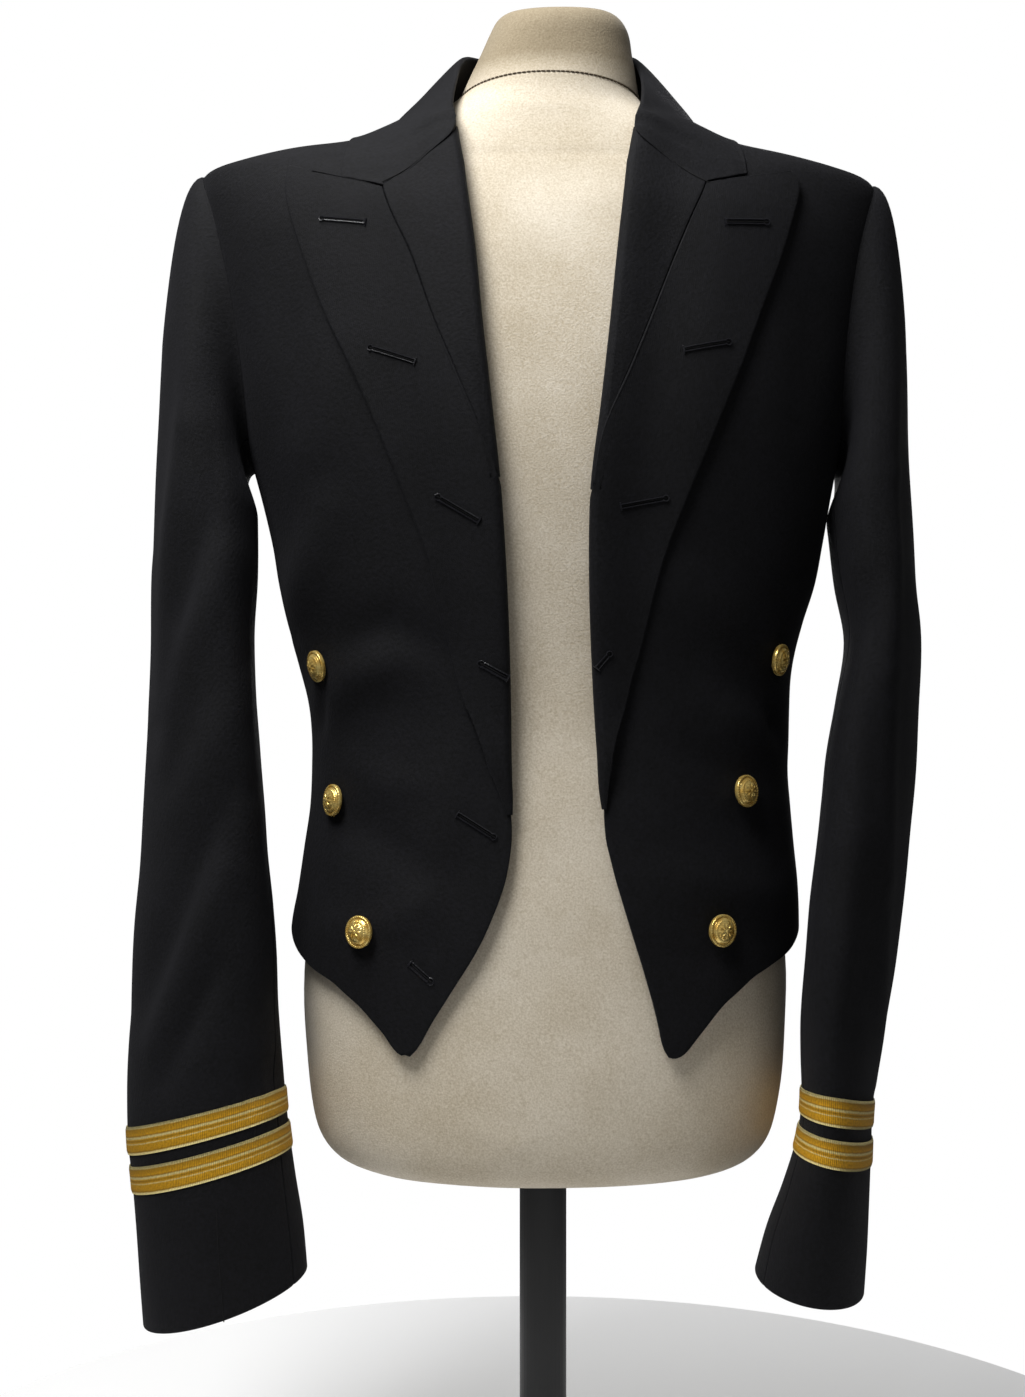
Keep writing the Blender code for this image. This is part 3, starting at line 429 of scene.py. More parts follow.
FINE_FOLDS = FOLDS + (
    Fold(-124, 498, -126, 487, -128, 476, 5, -3.2),
    Fold(127, 489, 128.5, 482, 130, 474, 5, -3.2),
    Fold(-106, 457, -86, 449, -62, 449, 10, 1.5),
    Fold(-60, 388, -84, 374, -112, 366, 11, 1.8),
    Fold(-150, 745, -146, 700, -140, 655, 15, -2.0),
    Fold(-120, 690, -124, 655, -134, 625, 16, 1.2),
    Fold(154, 742, 150, 700, 142, 655, 15, -2.2),
    Fold(122, 690, 126, 655, 136, 622, 16, 1.3),
    Fold(70, 470, 92, 460, 118, 452, 10, -1.6),
    Fold(62, 360, 84, 352, 108, 360, 11, -1.4),
)
BACK_FOLDS = (
    Fold(-90, 520, -60, 500, -18, 492, 12, -3.0),
    Fold(20, 505, 62, 512, 100, 528, 13, -2.6),
    Fold(-120, 470, -96, 452, -60, 446, 12, 2.6),
    Fold(58, 452, 98, 462, 126, 478, 12, 2.4),
    Fold(-140, 620, -118, 560, -104, 510, 15, 3.0),
    Fold(142, 616, 120, 566, 108, 516, 14, 3.2),
    Fold(-60, 400, -50, 380, -46, 352, 12, 1.8),
    Fold(64, 410, 56, 384, 50, 354, 12, 1.8),
    Fold(-70, 800, -30, 792, 40, 798, 13, -1.6),
    Fold(-150, 700, -120, 690, -96, 690, 14, -1.8),
    Fold(150, 706, 124, 692, 92, 686, 14, -1.8),
)


def column(table: Sequence[NamedTuple], name: str) -> list[float]:
    """One named column of a table."""
    return [getattr(row, name) for row in table]


def spline(values: Sequence, at: Array) -> Array:
    """A Catmull-Rom curve through values, or through rows of values.

    Args:
        values: one value, or one array of them, for each mark.
        at: the fractional indices at which the curve is read.

    Returns:
        The curve there.
    """
    table = np.asarray(values, float)
    last = len(table) - 1
    i = np.clip(np.floor(at).astype(int), 0, last - 1)
    t = np.reshape(at - i, np.shape(at) + (1,) * (table.ndim - 1))
    a, b = table[np.maximum(i - 1, 0)], table[i]
    c, d = table[i + 1], table[np.minimum(i + 2, last)]
    return 0.5 * (2 * b + (c - a) * t + (2 * a - 5 * b + 4 * c - d) * t * t
                  + (3 * b - a - 3 * c + d) * t ** 3)


def smooth_column(table: Sequence[NamedTuple], want: str, share: Array) -> Array:
    """Column want of a table read by a smooth curve, share 0 at its first row and 1 at its last."""
    return spline(column(table, want), share * (len(table) - 1))


def powered(value: Array, exponent: Array) -> Array:
    """A power that keeps the sign."""
    return np.sign(value) * np.abs(value) ** exponent


def smooth_step(share: Array) -> Array:
    """A soft step from 0 to 1."""
    share = np.clip(share, 0, 1)
    return share * share * (3 - 2 * share)


def unit(vectors: Array) -> Array:
    """Vectors of length one."""
    return vectors / np.maximum(np.linalg.norm(vectors, axis=-1, keepdims=True), 1e-9)


def between(start: Array, end: Array, share: Array) -> Array:
    """Rows of values from start to end, one row for each pair of them."""
    return start[:, None] * (1 - share) + end[:, None] * share


def spine_height(folds: Sequence[Fold], x: Array, z: Array) -> Array:
    """The rise of a set of folds over points seen from the front or back.

    Args:
        folds: the folds' table.
        x: across, in millimetres.
        z: up, in millimetres.

    Returns:
        The rise along the normal.
    """
    total = np.zeros(np.shape(x))
    for fold in folds:
        marks = ((fold.x1, fold.z1), (fold.x2, fold.z2), (fold.x3, fold.z3))
        best = np.full(np.shape(x), math.inf)
        along = np.zeros(np.shape(x))
        for k, (a, b) in enumerate(zip(marks, marks[1:])):
            dx, dz = b[0] - a[0], b[1] - a[1]
            t = np.clip(((x - a[0]) * dx + (z - a[1]) * dz) / (dx * dx + dz * dz), 0, 1)
            gap = np.hypot(x - a[0] - t * dx, z - a[1] - t * dz)
            along = np.where(gap < best, (k + t) / 2, along)
            best = np.minimum(gap, best)
        # A fold is lower towards both of its ends.
        fade = np.sin(math.pi * (0.12 + 0.76 * along)) ** 0.7
        total += fold.height * fade * np.exp(-(best / fold.reach) ** 2)
    return total


def ripple(x: Array, z: Array, size: float, seed: float) -> Array:
    """Slight unevenness of pressed cloth: a few crossed waves between -1 and 1.

    Args:
        x: across, in millimetres.
        z: up, in millimetres.
        size: the shortest wave, in millimetres.
        seed: what sets one sheet's waves apart from another's.

    Returns:
        The mean of the waves.
    """
    waves = np.zeros(np.shape(x))
    for k in range(WAVES):
        turn = seed + GOLDEN_TURN * k
        step = 2 * math.pi / (size * (1 + 0.37 * k))
        waves += np.sin((x * math.cos(turn) + z * math.sin(turn)) * step + 1.7 * k + seed)
    return waves / WAVES


@dataclass(frozen=True)
class Bust:
    """A body given by sections, read at an angle and a fractional row.

    Attributes:
        rings: the sections, from the lowest up.
    """

    rings: Sequence[Ring]

    def point(self, angle: Array, h: Array) -> Array:
        """Points of the smooth body.

        Args:
            angle: the angle round it, 0 at the front centre.
            h: the fractional row.

        Returns:
            The points, with one shoulder lower than the other.
        """
        at = {name: spline(column(self.rings, name), h) for name in Ring._fields}
        power = 2 / at["round"]
        side, front = powered(np.sin(angle), power), powered(np.cos(angle), power)
        depth = np.where(front > 0, at["front"], at["back"])
        z_end = np.where(front > 0, at["z_front"], at["z_back"])
        z = at["z_side"] + (z_end - at["z_side"]) * front * front
        x = at["centre"] + at["width"] * side
        drop = np.where(x > 0, SHOULDER_DROP["left"], SHOULDER_DROP["right"])
        z = z - DROP_OUT.at(np.abs(x)) * DROP_UP.at(z) * drop
        dip = np.where(x > 0, SHOULDER_DIP["left"], SHOULDER_DIP["right"])
        dip = dip * np.exp(-((np.abs(x) - DIP_X) / DIP_REACH) ** 2)
        z = z - dip * DIP_UP.at(z) * DIP_OUT.at(np.abs(x))
        return np.stack([x, -depth * front, z], axis=-1)

    def normal(self, angle: Array, h: Array) -> Array:
        """Outward directions of the smooth body.

        Args:
            angle: the angle round it.
            h: the fractional row.

        Returns:
            Vectors of length one.
        """
        turn, row, last = 0.004, 0.02, len(self.rings) - 1.0
        across = self.point(angle + turn, h) - self.point(angle - turn, h)
        up = self.point(angle, np.minimum(h + row, last)) - self.point(angle, np.maximum(h - row, 0))
        return unit(np.cross(across, up))

    def seek(self, low: float, high: float, angle_at: Reading, past: Reading,
             shape: tuple) -> tuple[Array, Array]:
        """Halves the rows between low and high until past() turns.

        Args:
            low: the lowest row.
            high: the highest row.
            angle_at: the angle that goes with a row.
            past: whether a point lies beyond the one that is sought.
            shape: the shape of what is sought.

        Returns:
            The angle and the row.
        """
        lo, hi = np.full(shape, low), np.full(shape, high)
        for _ in range(HALVINGS):
            h = (lo + hi) / 2
            beyond = past(self.point(angle_at(h), h))
            hi = np.where(beyond, h, hi)
            lo = np.where(beyond, lo, h)
        return angle_at(lo), lo

    def angle_for_x(self, x: Array, h: Array) -> Array:
        """The front angle at which a row has this x.

        Args:
            x: across, in millimetres.
            h: the fractional row.

        Returns:
            The angle, at most a quarter turn.
        """
        width, centre, roundness = (spline(column(self.rings, name), h)
                                    for name in ("width", "centre", "round"))
        share = np.clip((x - centre) / width, -1, 1)
        return np.arcsin(powered(share, roundness / 2))

    def locate(self, x: Array, z: Array) -> tuple[Array, Array]:
        """Angle and row of the front where it has this x and z."""
        x, z = np.broadcast_arrays(np.asarray(x, float), np.asarray(z, float))
        return self.seek(0.0, TOP, lambda h: self.angle_for_x(x, h), lambda p: p[..., 2] >= z, x.shape)

    def side_row(self, z: Array) -> Array:
        """The row whose side lies at height z."""
        z = np.asarray(z, float)
        return self.seek(0.0, SHOULDER_TIP, lambda h: np.full(z.shape, HALF_PI),
                         lambda p: p[..., 2] >= z, z.shape)[1]


BODY = Bust(JACKET)


def body(angle: Array, h: Array, out: Array | float = 0.0) -> Array:
    """Points of the jacket's body with its folds.

    Args:
        angle: the angle round it, 0 at the front centre.
        h: the fractional row.
        out: how far the points stand off the inner face, in millimetres.

    Returns:
        The points.
    """
    point = BODY.point(angle, h)
    normal = BODY.normal(angle, h)
    x, y, z = point[..., 0], point[..., 1], point[..., 2]
    # The back lies calm under the collar, and folds fade out towards the sides.
    calm = np.clip((835 - z) / 60, 0, 1)
    front = np.clip(-y / 25, 0, 1) * spine_height(FINE_FOLDS, x, z)
    back = np.clip(y / 25, 0, 1) * spine_height(BACK_FOLDS, x, z)
    lift = front + back * calm + 0.5 * calm * ripple(x, z + y, 52.0, 0.6)
    return point + normal * (lift + out)[..., None]


def edge_x(side: Side, z: Array) -> Array:
    """X of a front's edge, inside the round of the turned lapel where there is one.

    Args:
        side: the wearer's side.
        z: the height.

    Returns:
        The edge's x.
    """
    heights = column(FRONT_EDGE, "z")
    at = np.interp(z, heights, np.arange(len(heights)))
    inside = EDGE_INSIDE * LAPEL_TURNS.at(np.asarray(z, float))
    return spline(column(FRONT_EDGE, side.word), at) + side.value * inside


def armhole(side: Side, k: Array) -> tuple[Array, Array]:
    """The armhole, an egg seen from the side, on the body's own surface.

    Args:
        side: the wearer's side.
        k: 0 at the underarm, LOOP_HALF at the shoulder tip and twice that at the underarm again.

    Returns:
        Its angle and row.
    """
    share = np.asarray(k, float) / LOOP_HALF
    front = share <= 1.0
    turn = math.pi * np.where(front, share, 2.0 - share)
    tip = float(BODY.point(np.array(HALF_PI), np.array(float(SHOULDER_TIP)))[2])
    middle, half = (tip + UNDERARM_Z) / 2, (tip - UNDERARM_Z) / 2
    z = middle - half * powered(np.cos(turn), 0.9)
    depth = np.where(front, ARMHOLE_FRONT * (1.12 - 0.24 * share), ARMHOLE_BACK * (0.88 + 0.24 * (share - 1)))
    y = depth * np.clip(np.sin(turn), 0, 1) ** 0.85

    def angle_at(h: Array) -> Array:
        """The angle at which a row has the armhole's depth.

        Args:
            h: the fractional row.

        Returns:
            The angle.
        """
        reach = np.where(front, spline(column(JACKET, "front"), h), spline(column(JACKET, "back"), h))
        angle = np.arccos(np.clip(y / reach, 0, 1) ** (spline(column(JACKET, "round"), h) / 2))
        return np.where(front, angle, math.pi - angle)

    angle, h = BODY.seek(8.0, float(SHOULDER_TIP), angle_at, lambda p: p[..., 2] >= z, z.shape)
    return side.value * angle, h


def hermite(a: Array, ta: Array, b: Array, tb: Array, t: Array) -> Array:
    """A cubic from a to b with the end directions ta and tb."""
    t2, t3 = t * t, t * t * t
    return a * (2 * t3 - 3 * t2 + 1) + ta * (t3 - 2 * t2 + t) + b * (3 * t2 - 2 * t3) + tb * (t3 - t2)


@dataclass(frozen=True)
class SleeveForm:
    """The form of one empty sleeve, from the armhole to the cuff.

    Attributes:
        side: the wearer's side.
        cap_out: how far the sleeve's head reaches out from the shoulder.
        underarm_out: the same at the underarm.
    """

    side: Side
    cap_out: float = 56
    underarm_out: float = 52.0

    def tube(self, turn: Array, row: Array) -> Array:
        """Points of the hanging tube.

        Args:
            turn: 0 at the body and 0.25 at the front.
            row: the fractional row of SLEEVE.

        Returns:
            The points.
        """
        at = {name: spline(column(SLEEVE[self.side.word], name), row) for name in Tube._fields}
        theta = np.radians(90 - 360 * turn)
        across = at["width"] * np.sin(theta + np.radians(np.abs(at["lean"])))
        deep = -at["depth"] * np.cos(theta)
        x = at["x"] - self.side.value * across
        tilt = 0.13 - 0.17 * np.clip((290 - at["z"]) / 130, 0, 1)
        z = at["z"] + at["slope"] * (x - at["x"]) - tilt * deep
        return np.stack([x, at["y"] + deep, z], axis=-1)

    def row_at(self, z: Array) -> Array:
        """T of the free tube where its middle hangs at height z."""
        rows = np.linspace(0, len(SLEEVE[self.side.word]) - 1, 600)
        return 1 + np.interp(-z, -spline(column(SLEEVE[self.side.word], "z"), rows), rows)

    def smooth(self, turn: Array, t: Array) -> Array:
        """Points of the sleeve before its folds.

        Args:
            turn: the turn round it.
            t: 0 at the armhole, 1 at the free tube, then the tube's rows.

        Returns:
            The points.
        """
        turn, t = np.broadcast_arrays(np.asarray(turn, float), np.asarray(t, float))
        angle, h = armhole(self.side, turn % 1.0 * 2 * LOOP_HALF)
        start = body(angle, h)
        end = self.tube(turn, np.zeros_like(turn))
        high = 0.5 - 0.5 * np.cos(2 * math.pi * turn)
        reach = self.underarm_out + (self.cap_out - self.underarm_out) * high ** 1.5
        forward = -0.25 * np.sin(2 * math.pi * turn)
        leave = np.stack([self.side.value * reach, forward * reach, 30 * high - 6], axis=-1)
        start = start + unit(leave) * SEAM_GAP
        fall = unit(self.tube(turn, np.full(turn.shape, 0.3)) - end)
        drop = np.linalg.norm(start - end, axis=-1, keepdims=True)
        cap = hermite(start, leave, end, fall * drop * 0.95, np.clip(t, 0, 1)[..., None])
        return np.where((t < 1.0)[..., None], cap, self.tube(turn, np.maximum(t - 1.0, 0)))

    def normal(self, turn: Array, t: Array) -> Array:
        """Outward directions of the sleeve.

        Args:
            turn: the turn round it.
            t: the place along it.

        Returns:
            Vectors of length one.
        """
        step, down = 0.008, 0.03
        around = self.smooth(turn + step, t) - self.smooth(turn - step, t)
        along = self.smooth(turn, t + down) - self.smooth(turn, np.maximum(t - down, 0))
        return unit(np.cross(around, along)) * -self.side.value

    def point(self, turn: Array, t: Array, out: Array | float = 0.0) -> Array:
        """Points of the sleeve with its folds.

        Args:
            turn: the turn round it.
            t: the place along it.
            out: how far the points stand off the inner face, in millimetres.

        Returns:
            The points.
        """
        turn, t = np.broadcast_arrays(np.asarray(turn, float), np.asarray(t, float))
        point = self.smooth(turn, t)
        normal = self.normal(turn, t)
        x, z = point[..., 0], point[..., 2]
        # The head has no folds, the front and the back have their own, and the laced cuff is stiff.
        calm = np.clip((t - 0.25) / 0.5, 0, 1)
        front = np.clip(-normal[..., 1] * 3 + 0.3, 0, 1) * spine_height(SLEEVE_FOLDS[self.side], x, z)
        back = np.clip(normal[..., 1] * 3, 0, 1) * spine_height(HIDDEN_SLEEVE_FOLDS[self.side], x, z)
        cuff = np.clip((z - 262) / 30, 0.1, 1)
        lift = front + back + 0.8 * cuff * ripple(x * 1.2, z + point[..., 1], 64.0, 1.1 + self.side.value)
        return point + normal * (lift * calm + out)[..., None]


class Finish(Enum):
    """The parts' materials, by what they are."""

    WOOL = "wool_cloth"
    LACE = "gold_lace"
    GILT = "gilt"
    COVER = "form_cover"
    STAND = "stand_metal"
    TWIST = "buttonhole_twist"
    # Near-black thread: painted shade in the buttonhole slits and along the gorge and cuff seams.
    SLIT = "buttonhole_slit"
    SEAM = "seam_thread"


@dataclass
class Grid:
    """A sheet's inner face as rows by columns of points, with the way that its wall grows.

    Attributes:
        points: the inner face, in millimetres.
        normals: the wall's direction at each point, as long as a mitre needs.
        shrink: how far each border stands back, as (first row, last row, first column, last column).
        radius: the rounding of each border, in the same order.
    """

    points: Array
    normals: Array
    shrink: tuple[float, float, float, float] = (0.0, 0.0, 0.0, 0.0)
    radius: tuple[float, float, float, float] = (0.3, 0.3, 0.3, 0.3)


def perimeter(rows: int, cols: int) -> tuple[Array, Array, Array]:
    """The border of a grid as one loop.

    Args:
        rows: rows of the grid.
        cols: columns of the grid.

    Returns:
        The row and column of each border point, and the border that it lies on.
    """
    bottom = [(0, c, 0) for c in range(cols - 1)]
    right = [(r, cols - 1, 3) for r in range(rows - 1)]
    top = [(rows - 1, c, 1) for c in range(cols - 1, 0, -1)]
    left = [(r, 0, 2) for r in range(rows - 1, 0, -1)]
    loop = np.array(bottom + right + top + left)
    return loop[:, 0], loop[:, 1], loop[:, 2]


def stand_back(grid: Array, shrink: Sequence[float]) -> Array:
    """A grid whose borders stand back towards its middle.

    Args:
        grid: rows by columns of points.
        shrink: the distance for each border, in Grid's order.

    Returns:
        The moved points.
    """
    moved = grid.copy()
    moved[0] += unit(grid[1] - grid[0]) * shrink[0]
    moved[-1] += unit(grid[-2] - grid[-1]) * shrink[1]
    moved[:, 0] += unit(grid[:, 1] - grid[:, 0]) * shrink[2]
    moved[:, -1] += unit(grid[:, -2] - grid[:, -1]) * shrink[3]
    return moved


def grid_faces(index: Array, flip: bool) -> Array:
    """Quads over a grid of vertex numbers.

    Args:
        index: rows by columns of vertex numbers.
        flip: whether the quads face the other way.

    Returns:
        One row of four numbers for each quad.
    """
    a, b = index[:-1, :-1].ravel(), index[:-1, 1:].ravel()
    c, d = index[1:, 1:].ravel(), index[1:, :-1].ravel()
    return np.stack([a, d, c, b] if flip else [a, b, c, d], axis=1)


def closed_rows(count: int, columns: int) -> Array:
    """Vertex numbers of rings of points, each with its first one again at its end."""
    index = np.arange(count * columns).reshape(count, columns)
    return np.concatenate([index, index[:, :1]], axis=1)


def arc_lengths(points: Array) -> Array:
    """Distances along the rows and the columns of a grid, as texture coordinates.

    Args:
        points: rows by columns of points, in millimetres.

    Returns:
        Across and along in metres, across from the middle column.
    """
    across = np.linalg.norm(np.diff(points, axis=1), axis=-1)
    along = np.linalg.norm(np.diff(points, axis=0), axis=-1)
    middle = points.shape[1] // 2
    u = np.concatenate([np.zeros((points.shape[0], 1)), np.cumsum(across, axis=1)], axis=1)
    u -= u[:, middle:middle + 1]
    v = np.concatenate([np.zeros((1, points.shape[1])), np.cumsum(along, axis=0)], axis=0)
    return np.stack([u, v], axis=-1) * MM


def place(name: str, data: bpy.types.ID) -> bpy.types.Object:
    """Puts a mesh, a light or a camera into the scene.

    Args:
        name: the object's name.
        data: what it shows.

    Returns:
        The linked object.
    """
    obj = bpy.data.objects.new(name, data)
    bpy.context.scene.collection.objects.link(obj)
    return obj


@dataclass(frozen=True)
class MeshMaker:
    """Turns grids and profiles into linked mesh objects.

    Attributes:
        materials: a material for each finish.
        edge_steps: steps round the edge of a wall, from a face to its rim.
    """

    materials: dict[Finish, bpy.types.Material]
    edge_steps: int = 3

    def link(self, name: str, points: Array, faces: list, uv: Array | None,
             finish: Finish) -> bpy.types.Object:
        """Makes a mesh object from points in millimetres.

        Args:
            name: the object's name.
            points: one row for each vertex.
            faces: the vertex numbers of each face.
            uv: a texture coordinate for each vertex, or None.
            finish: the material.

        Returns:
            The linked object.
        """
        data = bpy.data.meshes.new(name)
        data.from_pydata((points * MM).tolist(), [], faces)
        if uv is not None:
            layer = data.uv_layers.new(name="UVMap")
            corners = np.empty(len(data.loops), np.int32)
            data.loops.foreach_get("vertex_index", corners)
            layer.data.foreach_set("uv", uv[corners].astype(np.float32).ravel())
        data.shade_smooth()
        data.materials.append(self.materials[finish])
        data.validate()
        LOG.info("%s: %d faces", name, len(data.polygons))
        return place(name + LOOK, data)

    def rim(self, low: Array, high: Array, loop: tuple[Array, Array], radius: Array) -> list[Array]:
        """The rounded edge of a wall, from its outer face round to its inner one.

        Args:
            low: the inner face, set back for the rounding.
            high: the outer face, set back alike.
            loop: row and column of each border point.
            radius: the rounding at each border point.

        Returns:
            Rings of points, without the faces' own borders.
        """
        r, c = loop
        rows, cols = low.shape[:2]
        inner, outer = low[r, c], high[r, c]
        up = unit(outer - inner)
        run = unit(np.roll(inner, -1, axis=0) - np.roll(inner, 1, axis=0))
        inward = unit(low[np.clip(r, 1, rows - 2), np.clip(c, 1, cols - 2)] - inner)
        side = unit(np.cross(run, up))
        side *= -np.sign(np.sum(side * inward, axis=-1, keepdims=True))
        turns = [HALF_PI * k / self.edge_steps for k in range(1, self.edge_steps + 1)]
        layers = []
        for end, way, order in ((outer, 1.0, turns), (inner, -1.0, turns[::-1])):
            centre = end - up * way * radius[:, None]
            for turn in order:
                layers.append(centre + (up * way * math.cos(turn) + side * math.sin(turn)) * radius[:, None])
        return layers

    def cloth(self, name: str, grid: Grid) -> bpy.types.Object:
        """A closed cloth wall with rounded edges from a grid.

        Args:
            name: the object's name.
            grid: the sheet.

        Returns:
            The linked object.
        """
        rows, cols = grid.points.shape[:2]
        away = [s + r for s, r in zip(grid.shrink, grid.radius)]
        low = stand_back(grid.points, away)
        high = stand_back(grid.points + grid.normals * CLOTH, away)
        r, c, border = perimeter(rows, cols)
        layers = self.rim(low, high, (r, c), np.array(grid.radius)[border])
        points = np.concatenate([low.reshape(-1, 3), high.reshape(-1, 3)] + layers)
        index = np.arange(rows * cols).reshape(rows, cols)
        faces = [grid_faces(index, True), grid_faces(index + rows * cols, False)]
        start = 2 * rows * cols
        edge = [np.arange(len(r)) + start + k * len(r) for k in range(len(layers))]
        rings = [index[r, c] + rows * cols] + edge + [index[r, c]]
        for a, b in zip(rings, rings[1:]):
            faces.append(np.stack([a, b, np.roll(b, -1), np.roll(a, -1)], axis=1))
        flat = arc_lengths(grid.points)
        uv = np.concatenate([flat.reshape(-1, 2)] * 2 + [flat[r, c]] * len(layers))
        faces = np.concatenate(faces)
        middle = index[rows // 2, cols // 2] + rows * cols
        facing = np.cross(points[middle + 1] - points[middle], points[middle + cols] - points[middle])
        if np.dot(facing, grid.normals[rows // 2, cols // 2]) < 0:
            faces = faces[:, ::-1]
        return self.link(name, points, faces.tolist(), uv, Finish.WOOL)


def grid_normals(points: Array, toward: Array) -> Array:
    """Normals of a grid of points.

    Args:
        points: rows by columns of points.
        toward: the side on which they stand.

    Returns:
        Vectors of length one.
    """
    along = np.gradient(points, axis=0)
    across = np.gradient(points, axis=1)
    normals = unit(np.cross(across, along))
    return normals * np.where(np.sum(normals * toward, axis=-1, keepdims=True) < 0, -1.0, 1.0)


def coons(left: Array, right: Array, bottom: Array, top: Array) -> Array:
    """Points of parameter space between four edges.

    Args:
        left: the first column, from bottom to top.
        right: the last column.
        bottom: the first row.
        top: the last row.

    Returns:
        Rows by columns by (angle, row).
    """
    t = np.linspace(0, 1, len(left))[:, None, None]
    v = np.linspace(0, 1, len(bottom))[None, :, None]
    sides = (1 - v) * left[:, None] + v * right[:, None]
    ends = (1 - t) * bottom[None] + t * top[None]
    corners = ((1 - v) * (1 - t) * left[0] + v * (1 - t) * right[0]
               + (1 - v) * t * left[-1] + v * t * right[-1])
    return sides + ends - corners


def seam_mitre(form: SleeveForm, k: Array, flat: Array) -> Array:
    """The wall's direction where sleeve and body share the armhole.

    Args:
        form: the sleeve.
        k: the armhole's own steps.
        flat: the body's outward directions there.

    Returns:
        Directions halfway between the two walls, longer where they meet at a corner.
    """
    turn = (k / (2 * LOOP_HALF)) % 1.0
    mix = unit(flat + form.normal(turn, np.full(turn.shape, 0.02)))
    return mix / np.maximum(np.sum(mix * flat, axis=-1, keepdims=True), 0.7)


@dataclass(frozen=True)
class Cut:
    """The flat cut of what shows of a piece: width and length in metres, and its share of that box."""

    width: float
    length: float
    share: float = 1.0


